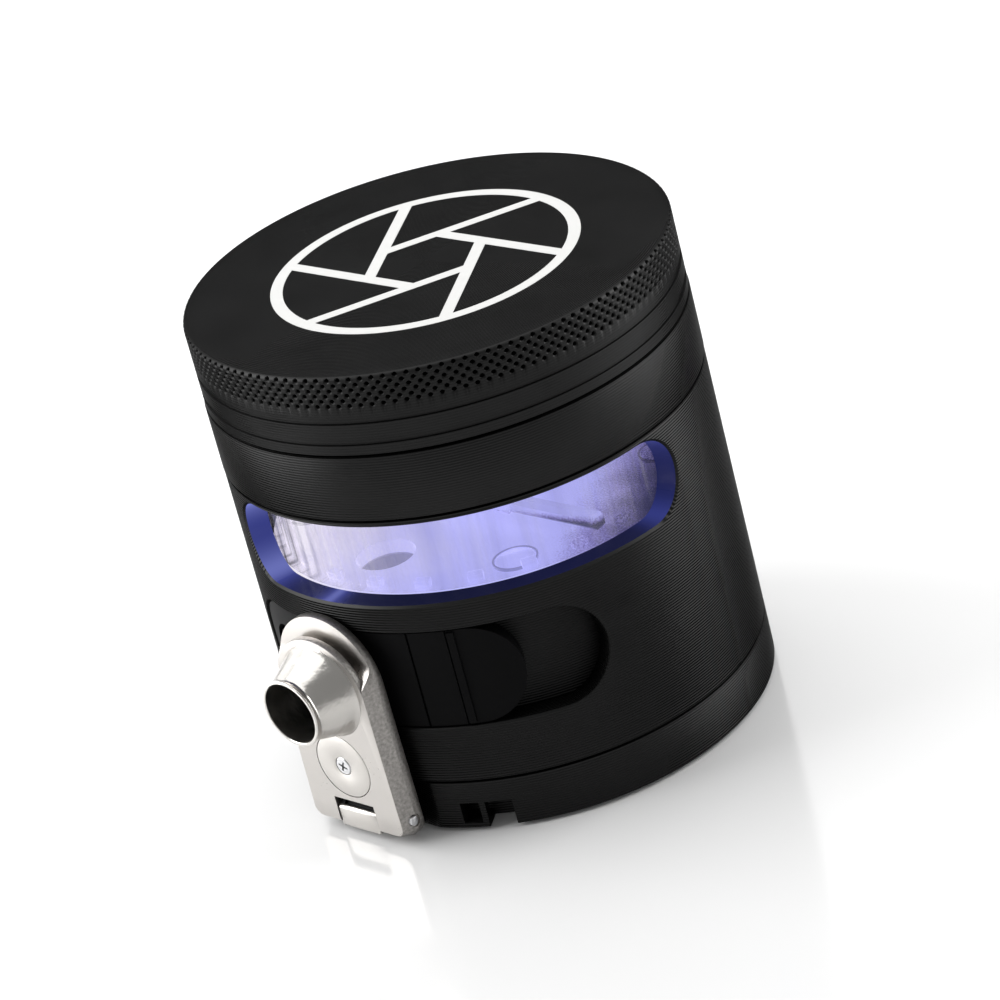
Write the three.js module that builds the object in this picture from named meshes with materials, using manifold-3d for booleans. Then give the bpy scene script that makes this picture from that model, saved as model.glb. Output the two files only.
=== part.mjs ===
/**
 * Herb grinder with a lit viewing window, a sliding dispensing gate and a hinged filling spout.
 *
 * Millimetres, +Z up. The origin is the centre of the face the grinder stands on, and the body's
 * axis is Z. The spout is at the front, -Y. An azimuth is counted from -Y towards +X.
 *
 * Bodies: housing > thread_seal (rises) > grinding_ring (turns) > friction_ring (lifts) > lid
 * (spins); housing > gate_slider, housing > spout (hinged), housing > sweeper (driven by a motor).
 */
import * as THREE from 'three';
import { mergeVertices } from 'three/addons/utils/BufferGeometryUtils.js';
import Module from 'manifold-3d';

const wasm = await Module();
wasm.setup();

// ---------------------------------------------------------------- driving dimensions
const BODY_RADIUS = 31.5;
const BASE = { bottom: 0.5, top: 7.2, bore: 27.9, flangeBore: 23.8, flangeBottom: 5.2, flat: 30.0 };
const BODY = { bottom: 7.5, top: 44.9, flangeTop: 9.5, flangeBore: 23.8, lowerBore: 26.8, upperBore: 28.4 };
const LEDGE = 30.3;
const SLOT = { from: -33.3, to: 67.0, mid: 22.25, half: 6.95, floor: 28.5 };
const WINDOW = { from: -26.3, to: 96.7, mid: 38.6, half: 5.6 };
const GATE = { travel: 19.5, right: 47.2, left: -32.6, half: 6.6, inner: 28.8, outer: 31.2 };
const PORT = { radius: 4.2, height: 21.8 };
const RING = { bottom: 45.2, shoulder: 53.9, rim: 60.6, bore: 26.8, lip: 28.6, plate: [46.0, 48.4] };
const THREAD = { outer: 26.3, inner: 24.9, bottom: 42.8 };
const LID = { bottom: 54.3, ceiling: 61.8, top: 64.8, radius: 31.45, bore: 28.95 };
const TOOTH = { radius: 1.5, sides: 4, ringTop: 61.2, lidBottom: 49.3 };
const PLATE = { back: 31.85, front: 35.0, half: 8.8, topHalf: 8.4, bottom: 0.75, arch: 22.9, corner: 2.2 };
const FACE = { half: 8.0, topHalf: 7.7, bottom: 3.0, arch: 21.4, corner: 0.5, thickness: 1.0 };
const FUNNEL = { height: PORT.height, base: 6.4, tube: 5.1, mouth: 40.8, bore: 4.2, lip: 4.65 };
const HINGE = { depth: 33.4, height: 3.5, pin: 0.65, clearance: 0.07, slotHalf: 3.5, slotTop: 5.3 };
const CAP = { radius: 4.5, height: 10.6, thickness: 0.9 };
const FLOOR = { bottom: 30.7, top: 32.6, radius: 28.0, outletRadius: 3.9, outletReach: 19 };
const GAP = 0.3;
const ROUND = 64;
const HIDDEN_ROUND = 40;
const SMALL_ROUND = 20;

// ---------------------------------------------------------------- shape helpers
const rad = THREE.MathUtils.degToRad;

/** The point at an azimuth in degrees, a radius and a height. */
function polar(azimuth, radius, height) {
  return new THREE.Vector3(radius * Math.sin(rad(azimuth)), -radius * Math.cos(rad(azimuth)), height);
}

/** A solid turned about +Z from [radius, height] corners, listed up the outside and down the inside. */
function turned(corners, segments = ROUND) {
  const profile = corners.map(([radius, height]) => new THREE.Vector2(radius, height));
  if (corners[0][0] > 0) profile.push(profile[0].clone());
  return new THREE.LatheGeometry(profile, segments).rotateX(Math.PI / 2);
}

/** A plain ring or, with no bore, a disc. */
function ring(outer, bore, bottom, top, segments = ROUND) {
  return turned([[outer, bottom], [outer, top], [bore, top], [bore, bottom]], segments);
}

function disc(radius, bottom, top, segments = ROUND) {
  return turned([[0, bottom], [radius, bottom], [radius, top], [0, top]], segments);
}

/** A box from its low and high corners. */
function block([x0, y0, z0], [x1, y1, z1]) {
  const box = new THREE.BoxGeometry(x1 - x0, y1 - y0, z1 - z0);
  return box.translate((x0 + x1) / 2, (y0 + y1) / 2, (z0 + z1) / 2);
}

/** A round bar between two points. */
function bar(radius, from, to, segments = SMALL_ROUND) {
  const along = to.clone().sub(from);
  const geometry = new THREE.CylinderGeometry(radius, radius, along.length(), segments);
  const turn = new THREE.Quaternion().setFromUnitVectors(new THREE.Vector3(0, 1, 0), along.normalize());
  return geometry.applyQuaternion(turn).translate(...from.clone().add(to).multiplyScalar(0.5).toArray());
}

/** A bar along Y, from the depth `near` to the depth `far` in front of the body's axis. */
function frontBar(radius, x, height, near, far, segments = SMALL_ROUND) {
  return bar(radius, new THREE.Vector3(x, -near, height), new THREE.Vector3(x, -far, height), segments);
}

/** A slot with round ends, bent round the body's axis, between two azimuths and two radii. */
function bentSlot({ from, to, mid, half }, inner, outer) {
  const arcSteps = 7;
  const stepDegrees = 5;
  const tip = 0.05;
  const endSpan = THREE.MathUtils.radToDeg(half / BODY_RADIUS);
  const stations = [];
  for (let i = 0; i <= arcSteps; i += 1) {
    const turn = (i / arcSteps) * Math.PI / 2;
    stations.push([from + endSpan * (1 - Math.cos(turn)), Math.max(tip, half * Math.sin(turn))]);
  }
  const straight = to - from - 2 * endSpan;
  const pieces = Math.ceil(straight / stepDegrees);
  for (let i = 1; i < pieces; i += 1) {
    stations.push([from + endSpan + straight * i / pieces, half]);
  }
  for (let i = arcSteps; i >= 0; i -= 1) {
    const turn = (i / arcSteps) * Math.PI / 2;
    stations.push([to - endSpan * (1 - Math.cos(turn)), Math.max(tip, half * Math.sin(turn))]);
  }
  const last = stations.length - 1;
  const geometry = new THREE.BoxGeometry(1, 1, 1, last, 1, 1);
  const place = geometry.attributes.position;
  for (let i = 0; i < place.count; i += 1) {
    const [azimuth, reach] = stations[Math.round((place.getX(i) + 0.5) * last)];
    const radius = place.getZ(i) > 0 ? outer : inner;
    const point = polar(azimuth, radius, mid + Math.sign(place.getY(i)) * reach);
    place.setXYZ(i, point.x, point.y, point.z);
  }
  return geometry;
}

// ---------------------------------------------------------------- joining and cutting
/** A closed geometry as a manifold-3d solid. */
function solid(shape) {
  const bare = shape.clone();
  bare.deleteAttribute('normal');
  bare.deleteAttribute('uv');
  const merged = mergeVertices(bare, 1e-4);
  const corners = [];
  for (let i = 0; i < merged.index.count; i += 3) {
    const [a, b, c] = [0, 1, 2].map((k) => merged.index.getX(i + k));
    if (a !== b && b !== c && c !== a) corners.push(a, b, c);
  }
  return new wasm.Manifold(new wasm.Mesh({
    numProp: 3,
    vertProperties: new Float32Array(merged.attributes.position.array),
    triVerts: new Uint32Array(corners),
  }));
}

/** The geometry of a manifold-3d solid. */
function geometryOf(manifold) {
  const mesh = manifold.getMesh();
  const geometry = new THREE.BufferGeometry();
  geometry.setAttribute('position', new THREE.BufferAttribute(new Float32Array(mesh.vertProperties), 3));
  geometry.setIndex(new THREE.BufferAttribute(new Uint32Array(mesh.triVerts), 1));
  return geometry;
}

/** The base shape with `added` shapes joined on, and then `removed` shapes cut away. */
function shaped(base, { added = [], removed = [] }) {
  let made = solid(base);
  for (const shape of added) made = made.add(solid(shape));
  for (const shape of removed) made = made.subtract(solid(shape));
  return geometryOf(made);
}

// ---------------------------------------------------------------- finishes
const FINISHES = {
  blackAluminium: { color: 0x1b1b1c, roughness: 0.42, metalness: 0.6 },
  blackPlastic: { color: 0x151516, roughness: 0.6, metalness: 0.0 },
  nickel: { color: 0xcfcbc4, roughness: 0.28, metalness: 1.0 },
  steel: { color: 0x9a9a9c, roughness: 0.35, metalness: 1.0 },
  clearPlastic: { color: 0xdfe3f5, roughness: 0.08, metalness: 0.0, transparent: true, opacity: 0.35 },
  milkyPlastic: { color: 0xe9e6fb, roughness: 0.35, metalness: 0.0 },
  rubber: { color: 0x101010, roughness: 0.9, metalness: 0.0 },
  magnet: { color: 0xb8b6b2, roughness: 0.3, metalness: 1.0 },
  board: { color: 0x17472c, roughness: 0.55, metalness: 0.1 },
  cell: { color: 0x3d6fa8, roughness: 0.5, metalness: 0.0 },
  led: { color: 0xf4f6ff, roughness: 0.3, metalness: 0.0 },
};

const grinder = new THREE.Group();

/** One named piece with a material of its own, put into `parent`. */
function piece(name, geometry, finish, parent = grinder) {
  const material = new THREE.MeshStandardMaterial({ ...FINISHES[finish], flatShading: true });
  const mesh = new THREE.Mesh(geometry, material);
  mesh.name = name;
  parent.add(mesh);
  return mesh;
}

// ---------------------------------------------------------------- base
const BASE_SCREWS = { count: 4, reach: 25.9, hole: 1.2, shaft: 0.85, head: 1.6, firstAzimuth: 50 };
const LANYARD = { from: 23.7, to: 36.2, postFrom: 28.2, postTo: 29.7, top: 4.2, strip: 1.2, back: 28.5 };

/** The azimuths of the screws that hold the base ring to the chamber body. */
function baseScrewAzimuths() {
  return Array.from({ length: BASE_SCREWS.count }, (_, i) => BASE_SCREWS.firstAzimuth + i * 90);
}

/** A wedge of ring between two azimuths, for cutting pockets into a round wall. */
function sector(from, to, inner, outer, bottom, top) {
  const steps = Math.max(1, Math.ceil((to - from) / 5));
  const geometry = new THREE.BoxGeometry(1, 1, 1, steps, 1, 1);
  const place = geometry.attributes.position;
  for (let i = 0; i < place.count; i += 1) {
    const azimuth = from + (to - from) * (place.getX(i) + 0.5);
    const point = polar(azimuth, place.getZ(i) > 0 ? outer : inner, place.getY(i) > 0 ? top : bottom);
    place.setXYZ(i, point.x, point.y, point.z);
  }
  return geometry;
}

/** The bottom ring: a lanyard post in a notch, a flat for the spout's hinge and a screw flange. */
function baseRing() {
  const outside = BODY_RADIUS + 1;
  const postDepth = 1.4;
  const clearHoles = baseScrewAzimuths().map((azimuth) => {
    const at = polar(azimuth, BASE_SCREWS.reach, BASE.flangeBottom - 1);
    return bar(BASE_SCREWS.hole, at, at.clone().setZ(BASE.top + 1), 12);
  });
  return shaped(
    turned([
      [BODY_RADIUS, BASE.bottom], [BODY_RADIUS, BASE.top], [BASE.flangeBore, BASE.top],
      [BASE.flangeBore, BASE.flangeBottom], [BASE.bore, BASE.flangeBottom], [BASE.bore, BASE.bottom],
    ]),
    {
      removed: [
        block([-12, -BODY_RADIUS - 1, -1], [12, -BASE.flat, BASE.top + 1]),
        block([-HINGE.slotHalf, -BASE.flat - 1, -1], [HINGE.slotHalf, -28.8, 4.4]),
        sector(LANYARD.from, LANYARD.postFrom, LANYARD.back, outside, LANYARD.strip, LANYARD.top),
        sector(LANYARD.postTo, LANYARD.to, LANYARD.back, outside, -1, LANYARD.top),
        sector(LANYARD.from, LANYARD.to, LANYARD.back, BODY_RADIUS - postDepth, LANYARD.strip, LANYARD.top),
        ...clearHoles,
      ],
    },
  );
}

piece('base_ring', baseRing(), 'blackAluminium');
piece('base_cover', disc(27.6, 0.9, 2.4, HIDDEN_ROUND), 'blackPlastic');
piece('rubber_foot', disc(25.4, 0, 0.6, HIDDEN_ROUND), 'rubber');

/** A screw that stands on its tip's far end: head below, shaft above. */
function baseScrew() {
  const headTop = 1.2;
  const length = 5.2;
  return turned([
    [0, 0], [BASE_SCREWS.head, 0], [BASE_SCREWS.head, headTop],
    [BASE_SCREWS.shaft, headTop], [BASE_SCREWS.shaft, length], [0, length],
  ], 12);
}

baseScrewAzimuths().forEach((azimuth, i) => {
  const screw = piece(`base_screw_${i + 1}`, baseScrew(), 'steel');
  screw.position.copy(polar(azimuth, BASE_SCREWS.reach, BASE.flangeBottom - GAP - 1.2));
});

// ---------------------------------------------------------------- chamber body
const CHARGE = { width: 9.6, height: 3.9, level: 14.0, socketWidth: 8.9, socketHeight: 3.2 };

/** A bar with the charging socket's rounded section, along +Y between two depths behind the axis. */
function chargeSection(width, height, near, far) {
  const radius = height / 2;
  const reach = width / 2 - radius;
  const outline = new THREE.Shape();
  outline.absarc(reach, 0, radius, -Math.PI / 2, Math.PI / 2);
  outline.absarc(-reach, 0, radius, Math.PI / 2, 3 * Math.PI / 2);
  const geometry = new THREE.ExtrudeGeometry(outline, {
    depth: far - near, bevelEnabled: false, curveSegments: 6,
  });
  return geometry.rotateX(Math.PI / 2).translate(0, far, CHARGE.level);
}

/** The tall wall: window and gate slot cut in, a port to the chute and a socket hole at the back. */
function chamberBody() {
  const outside = BODY_RADIUS + 2;
  const latchDepth = 29.4;
  const tappedHoles = baseScrewAzimuths().map((azimuth) => {
    const at = polar(azimuth, BASE_SCREWS.reach, BODY.bottom - 1);
    return bar(BASE_SCREWS.hole, at, at.clone().setZ(BODY.flangeTop + 1), 12);
  });
  return shaped(
    turned([
      [BODY_RADIUS, BODY.bottom], [BODY_RADIUS, BODY.top], [BODY.upperBore, BODY.top],
      [BODY.upperBore, LEDGE], [BODY.lowerBore, LEDGE], [BODY.lowerBore, BODY.flangeTop],
      [BODY.flangeBore, BODY.flangeTop], [BODY.flangeBore, BODY.bottom],
    ]),
    {
      removed: [
        bentSlot(WINDOW, BODY.upperBore - 2, outside),
        bentSlot(SLOT, SLOT.floor, outside),
        frontBar(PORT.radius, 0, PORT.height, SLOT.floor + 1, BODY.lowerBore - 3, 24),
        frontBar(2.6, 0, CAP.height, outside, latchDepth),
        chargeSection(CHARGE.width, CHARGE.height, BODY.lowerBore - 3, outside),
        ...tappedHoles,
      ],
    },
  );
}

piece('chamber_body', chamberBody(), 'blackAluminium');
piece('window_sleeve', ring(28.1, 26.7, 32.9, 44.6), 'clearPlastic');
piece('latch_magnet', frontBar(2.3, 0, CAP.height, 31.1, 29.7), 'magnet');

/** The lit chamber floor: a shaft hole in the middle and the outlet that drops into the chute. */
function chamberFloor() {
  const outlet = polar(0, FLOOR.outletReach, FLOOR.bottom - 1);
  return shaped(disc(FLOOR.radius, FLOOR.bottom, FLOOR.top, HIDDEN_ROUND), {
    removed: [
      bar(2.1, new THREE.Vector3(0, 0, FLOOR.bottom - 1), new THREE.Vector3(0, 0, FLOOR.top + 1)),
      bar(FLOOR.outletRadius, outlet, outlet.clone().setZ(FLOOR.top + 1), 24),
    ],
  });
}

piece('chamber_floor', chamberFloor(), 'milkyPlastic');

// ---------------------------------------------------------------- works under the floor
const LEDS = { azimuths: [52, 128, 232, 308], reach: 23.2, bottom: 29.3, top: 30.1 };
const MOTOR = { radius: 6.0, bottom: 11.9, top: 22.2, gearTop: 29.4 };
const FRAME = { radius: 26.4, bottom: 9.8, top: 11.3, cupOuter: 7.7, cupBore: 6.4, cupTop: 16.5 };

/** The chute: from under the floor's outlet, down a slope and out at the port behind the gate. */
function chute() {
  const halfWidth = 5.6;
  const clearOfWall = BODY.lowerBore - GAP;
  const bend = new THREE.Vector3(0, -FLOOR.outletReach, 26.5);
  const above = bend.clone().setZ(LEDGE + 1);
  const mouth = new THREE.Vector3(0, -SLOT.floor, PORT.height);
  const beyond = mouth.clone().add(mouth.clone().sub(bend).multiplyScalar(0.3));
  const outer = solid(block([-halfWidth, -BODY_RADIUS, 16.0], [halfWidth, -13.6, FLOOR.bottom - GAP]));
  return geometryOf(outer
    .intersect(solid(disc(clearOfWall, 0, LEDGE + 5)))
    .subtract(solid(bar(4.1, bend, above, 20)))
    .subtract(solid(new THREE.SphereGeometry(4.1, 16, 10).translate(...bend.toArray())))
    .subtract(solid(bar(4.1, bend, beyond, 20))));
}

piece('chute', chute(), 'blackPlastic');
piece('light_board', shaped(ring(26.2, 20.2, 28.2, 29.0, HIDDEN_ROUND), {
  removed: [block([-6.2, -30, 27], [6.2, -10, 31])],
}), 'board');
LEDS.azimuths.forEach((azimuth, i) => {
  const led = piece(`led_${i + 1}`, new THREE.BoxGeometry(2.8, 2.8, LEDS.top - LEDS.bottom), 'led');
  led.position.copy(polar(azimuth, LEDS.reach, (LEDS.bottom + LEDS.top) / 2));
  led.rotation.z = rad(azimuth);
});

piece('inner_frame', shaped(disc(FRAME.radius, FRAME.bottom, FRAME.top, HIDDEN_ROUND), {
  added: [ring(FRAME.cupOuter, FRAME.cupBore, FRAME.bottom + 0.5, FRAME.cupTop, 24)],
}), 'blackPlastic');
piece('drive_motor', disc(MOTOR.radius, MOTOR.bottom, MOTOR.top, 32), 'steel');
piece('gearbox', disc(MOTOR.radius, MOTOR.top + GAP, MOTOR.gearTop, 32), 'steel');
piece('battery', block([-10, 9, 11.9], [10, 16.4, 27]), 'cell');
piece('circuit_board', block([-11.5, 17.0, 11.9], [11.5, 18.2, 27]), 'board');
piece('gate_switch', block([-2.9, -1.4, -2.1], [2.9, 1.4, 2.1]), 'blackPlastic');
grinder.getObjectByName('gate_switch').position.copy(polar(62, 24.0, SLOT.mid));
grinder.getObjectByName('gate_switch').rotation.z = rad(62);

piece('charging_socket', shaped(
  chargeSection(CHARGE.socketWidth, CHARGE.socketHeight, 18.6, 29.6),
  { removed: [chargeSection(CHARGE.socketWidth - 0.8, CHARGE.socketHeight - 0.8, 22, 31)] },
), 'steel');

// ---------------------------------------------------------------- sweeper
const SWEEPER = { bottom: 33.0, top: 35.2, hub: 6.6, hubTop: 37.0, offset: 4.8, reach: 25.0, half: 1.1 };

piece('drive_shaft', disc(1.5, MOTOR.gearTop + GAP, 36.0, 16), 'steel');
piece('sweeper_hub', shaped(
  turned([[0, SWEEPER.bottom], [SWEEPER.hub, SWEEPER.bottom], [SWEEPER.hub, SWEEPER.hubTop - 1.2],
    [SWEEPER.hub - 1.2, SWEEPER.hubTop], [0, SWEEPER.hubTop]], 32),
  { removed: [disc(1.6, SWEEPER.bottom - 1, 36.3, 16)] },
), 'milkyPlastic');

for (const [i, heading] of [0, Math.PI].entries()) {
  const start = Math.sqrt(SWEEPER.hub ** 2 - (SWEEPER.offset - SWEEPER.half) ** 2) + GAP;
  const length = SWEEPER.reach - start;
  const arm = new THREE.BoxGeometry(length, 2 * SWEEPER.half, SWEEPER.top - SWEEPER.bottom);
  const turn = new THREE.Group();
  turn.rotation.z = heading;
  grinder.add(turn);
  const mesh = piece(`sweeper_arm_${i + 1}`, arm, 'steel', turn);
  mesh.position.set(start + length / 2, -SWEEPER.offset, (SWEEPER.bottom + SWEEPER.top) / 2);
}

// ---------------------------------------------------------------- gate slider
/** A curved shutter in the slot, with a thumb rib, a parting groove and a port near its left end. */
function gateSlider() {
  const grooveAt = 21.7;
  const ribAt = 32.0;
  const groove = sector(grooveAt - 0.25, grooveAt + 0.25, GATE.outer - 0.4, GATE.outer + 1, 14, 31);
  const rib = sector(ribAt - 0.7, ribAt + 0.7, GATE.outer - 0.6, GATE.outer + 0.35, 15.9, 28.6);
  const portAt = -GATE.travel;
  const port = bar(PORT.radius, polar(portAt, 26, PORT.height), polar(portAt, 34, PORT.height), 24);
  return shaped(
    bentSlot({ from: GATE.left, to: GATE.right, mid: SLOT.mid, half: GATE.half }, GATE.inner, GATE.outer),
    { added: [rib], removed: [groove, port] },
  );
}

piece('gate_slider', gateSlider(), 'blackPlastic');

// ---------------------------------------------------------------- spout plate on its hinge
/** An upright tongue, x across and y up: round bottom corners, sides that lean in, an arched top. */
function tongue({ half, topHalf, bottom, arch, corner }) {
  const outline = new THREE.Shape();
  outline.moveTo(-half + corner, bottom);
  outline.lineTo(half - corner, bottom);
  outline.absarc(half - corner, bottom + corner, corner, -Math.PI / 2, 0);
  outline.lineTo(topHalf, arch);
  outline.absarc(0, arch, topHalf, 0, Math.PI);
  outline.lineTo(-half, bottom + corner);
  outline.absarc(-half + corner, bottom + corner, corner, Math.PI, 3 * Math.PI / 2);
  return outline;
}

/** Extrudes a side view, drawn as depth in front of the axis against height, from -half to +half. */
function acrossFront(profile, half, curveSegments = 5) {
  const geometry = new THREE.ExtrudeGeometry(profile, {
    depth: 2 * half, bevelEnabled: false, curveSegments,
  });
  geometry.applyMatrix4(new THREE.Matrix4().makeBasis(
    new THREE.Vector3(0, -1, 0), new THREE.Vector3(0, 0, 1), new THREE.Vector3(-1, 0, 0),
  ));
  return geometry.translate(half, 0, 0);
}

/** The nickel plate: bevelled front edge, a face that overhangs a set-back top, a hinge cut-out. */
function spoutPlate() {
  const bevelDepth = 1.9;
  const bevelWidth = 0.9;
  const thickness = PLATE.front - PLATE.back;
  const slab = new THREE.ExtrudeGeometry(tongue(PLATE), {
    depth: thickness, bevelEnabled: true, bevelThickness: bevelDepth, bevelSize: bevelWidth,
    bevelOffset: -bevelWidth, bevelSegments: 1, curveSegments: 14,
  });
  slab.rotateX(Math.PI / 2).translate(0, -PLATE.front + thickness + bevelDepth, 0);
  const setBack = { depth: 33.0, rampFrom: 22.5, rampTo: 26.0, top: 34 };
  const recess = acrossFront(new THREE.Shape([
    new THREE.Vector2(PLATE.front, setBack.rampFrom), new THREE.Vector2(PLATE.front + 1, setBack.rampFrom),
    new THREE.Vector2(PLATE.front + 1, setBack.top), new THREE.Vector2(setBack.depth, setBack.top),
    new THREE.Vector2(setBack.depth, setBack.rampTo),
  ]), 12);
  const face = new THREE.ExtrudeGeometry(tongue(FACE), {
    depth: FACE.thickness, bevelEnabled: false, curveSegments: 14,
  });
  face.rotateX(Math.PI / 2).translate(0, -PLATE.front + FACE.thickness, 0);
  return shaped(slab, {
    removed: [
      block([-12, -PLATE.back, -1], [12, -20, 40]),
      shaped(recess, { removed: [face] }),
      frontBar(FUNNEL.tube + GAP, 0, FUNNEL.height, PLATE.back - 1, PLATE.front + 1, 24),
      frontBar(CAP.radius + 0.25, 0, CAP.height, PLATE.front - CAP.thickness - 0.3, PLATE.front + 1, 32),
      frontBar(3.3, 0, CAP.height, PLATE.back + 0.6, PLATE.front + 1, 24),
      block([-HINGE.slotHalf, -40, -1], [HINGE.slotHalf, -20, HINGE.slotTop]),
      bar(HINGE.pin + HINGE.clearance, new THREE.Vector3(-12, -HINGE.depth, HINGE.height),
        new THREE.Vector3(12, -HINGE.depth, HINGE.height)),
    ],
  });
}

piece('spout_plate', spoutPlate(), 'nickel');

/** The funnel, turned about its own +Z and then laid along -Y. */
function funnel() {
  const seat = PLATE.front + GAP;
  return turned([
    [4.5, 32.4], [FUNNEL.tube, 32.4], [FUNNEL.tube, seat], [FUNNEL.base, seat],
    [6.0, 36.2], [5.2, 38.0], [4.55, 39.7], [FUNNEL.lip, 40.3], [FUNNEL.lip, FUNNEL.mouth],
    [FUNNEL.bore, FUNNEL.mouth], [FUNNEL.bore, 37.0], [4.5, 34.0],
  ], 32);
}

const funnelMesh = piece('funnel', funnel(), 'nickel');
funnelMesh.rotation.x = Math.PI / 2;
funnelMesh.position.z = FUNNEL.height;

/** The round cap over the plate's magnet, countersunk for its screw. */
const capSocket = new THREE.Group();
capSocket.position.set(0, 0, CAP.height);
capSocket.rotation.x = Math.PI / 2;
grinder.add(capSocket);
const capFront = PLATE.front;
piece('magnet_cap', turned([
  [1.0, capFront - CAP.thickness], [CAP.radius, capFront - CAP.thickness], [CAP.radius, capFront],
  [1.5, capFront], [1.5, capFront - 0.6], [1.0, capFront - 0.6],
], 32), 'nickel', capSocket);
piece('plate_magnet', ring(3.0, 1.0, 32.9, 33.8, 24), 'magnet', capSocket);
piece('cap_screw', turned([
  [0, 32.9], [0.65, 32.9], [0.65, capFront - 0.3], [1.2, capFront - 0.3], [1.2, capFront], [0, capFront],
], 16), 'steel', capSocket);

/** A bar along X through the hinge's axis. */
function hingeBar(radius, from, to, segments = SMALL_ROUND) {
  return bar(radius, new THREE.Vector3(from, -HINGE.depth, HINGE.height),
    new THREE.Vector3(to, -HINGE.depth, HINGE.height), segments);
}

/** The fixed hinge leaf: a round-edged lip before the pin, a foot into the base, two pierced cheeks. */
function hingeBracket() {
  const half = 3.2;
  const cheek = 0.7;
  const knuckle = 1.25;
  const root = 29.2;
  const [front, back] = [34.9, 34.4];
  const [bottom, footTop, lipTop] = [1.0, 1.7, 3.9];
  const edge = 0.45;
  const profile = new THREE.Shape();
  profile.moveTo(root, bottom);
  profile.lineTo(front, bottom);
  profile.lineTo(front, lipTop - edge);
  profile.absarc(front - edge, lipTop - edge, edge, 0, Math.PI / 2);
  profile.lineTo(back, lipTop);
  profile.lineTo(back, footTop);
  profile.lineTo(root, footTop);
  const leaf = acrossFront(profile, half);
  const cheeks = [-half, half - cheek].flatMap((low) => [
    hingeBar(knuckle, low, low + cheek),
    block([low, -HINGE.depth - knuckle, bottom], [low + cheek, -root, HINGE.height]),
  ]);
  return shaped(leaf, { added: cheeks, removed: [hingeBar(HINGE.pin + HINGE.clearance, -9, 9)] });
}

piece('hinge_bracket', hingeBracket(), 'nickel');
piece('hinge_pin', hingeBar(HINGE.pin, -8.75, 8.75), 'steel');
piece('hinge_bush', shaped(hingeBar(0.9, -2.2, 2.2), {
  removed: [hingeBar(HINGE.pin + HINGE.clearance, -3, 3)],
}), 'blackPlastic');

// ---------------------------------------------------------------- grinding ring and lid
/** Four-sided teeth on circles about the axis: `circles` lists [reach, count, first azimuth]. */
function teeth(circles, bottom, top) {
  return circles.flatMap(([reach, count, first]) => Array.from({ length: count }, (_, i) => {
    const azimuth = first + i * 360 / count;
    const at = polar(azimuth, reach, (bottom + top) / 2);
    const tooth = new THREE.CylinderGeometry(TOOTH.radius, TOOTH.radius, top - bottom, TOOTH.sides);
    return tooth.rotateX(Math.PI / 2).rotateZ(rad(azimuth)).translate(...at.toArray());
  }));
}

/** The cup with the lower teeth: drop holes between them, a spigot below and a rim for the lid. */
function grindingRing() {
  const [plateBottom, plateTop] = RING.plate;
  const sealGroove = ring(29.8, 28.6, RING.bottom - 1, RING.bottom + 0.8);
  const dropHoles = [[7, 6, 0], [15, 9, 20], [23, 14, 0]].flatMap(([reach, count, first]) =>
    Array.from({ length: count }, (_, i) => {
      const at = polar(first + i * 360 / count, reach, plateBottom - 1);
      return bar(1.9, at, at.clone().setZ(plateTop + 1), 8);
    }));
  return shaped(
    turned([
      [THREAD.outer, THREAD.bottom], [THREAD.outer, RING.bottom], [BODY_RADIUS, RING.bottom],
      [BODY_RADIUS, RING.shoulder], [RING.lip, RING.shoulder], [RING.lip, RING.rim],
      [RING.bore, RING.rim], [RING.bore, plateTop], [0, plateTop], [0, plateBottom],
      [THREAD.inner, plateBottom], [THREAD.inner, THREAD.bottom],
    ]),
    {
      added: teeth([[11, 6, 30], [19, 10, 18]], plateTop - 0.5, TOOTH.ringTop),
      removed: [sealGroove, ...dropHoles, disc(4.3, plateTop - 1.2, plateTop + 1, 24)],
    },
  );
}

piece('thread_seal', ring(29.5, 28.9, 45.15, 45.7, HIDDEN_ROUND), 'rubber');
piece('grinding_ring', grindingRing(), 'blackAluminium');
piece('ring_magnet', disc(4.0, RING.plate[1] - 0.9, RING.plate[1] + 2.0, 24), 'magnet');
piece('friction_ring', ring(28.2, 27.0, RING.rim + GAP, LID.ceiling - GAP, HIDDEN_ROUND), 'milkyPlastic');

/** The lid: a plain top, two shallow channels turned into its skirt and the upper teeth underneath. */
function lid() {
  const edge = 0.5;
  const channelDepth = 0.2;
  const channels = [[55.55, 56.5], [58.4, 59.35]];
  const channelCorners = channels.flatMap(([low, high]) => [
    [LID.radius, low], [LID.radius - channelDepth, low + channelDepth],
    [LID.radius - channelDepth, high - channelDepth], [LID.radius, high],
  ]);
  return shaped(
    turned([
      [LID.radius, LID.bottom], ...channelCorners, [LID.radius, LID.top - edge],
      [LID.radius - edge, LID.top], [0, LID.top], [0, LID.ceiling],
      [LID.bore, LID.ceiling], [LID.bore, LID.bottom],
    ]),
    {
      added: teeth([[7, 4, 0], [15, 8, 22.5], [23, 10, 0]], TOOTH.lidBottom, LID.ceiling + 0.5),
      removed: [disc(4.3, LID.ceiling - 1, LID.ceiling + 1.5, 24)],
    },
  );
}

piece('lid', lid(), 'blackAluminium');
piece('lid_magnet', disc(4.0, 58.2, LID.ceiling + 1.2, 24), 'magnet');

export default grinder;
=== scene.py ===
"""A lit herb grinder's looks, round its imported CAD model. In millimetres until put() makes a piece."""
from math import cos, pi, radians, sin, sqrt

import bmesh
import bpy
from mathutils import Matrix, Vector


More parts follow.
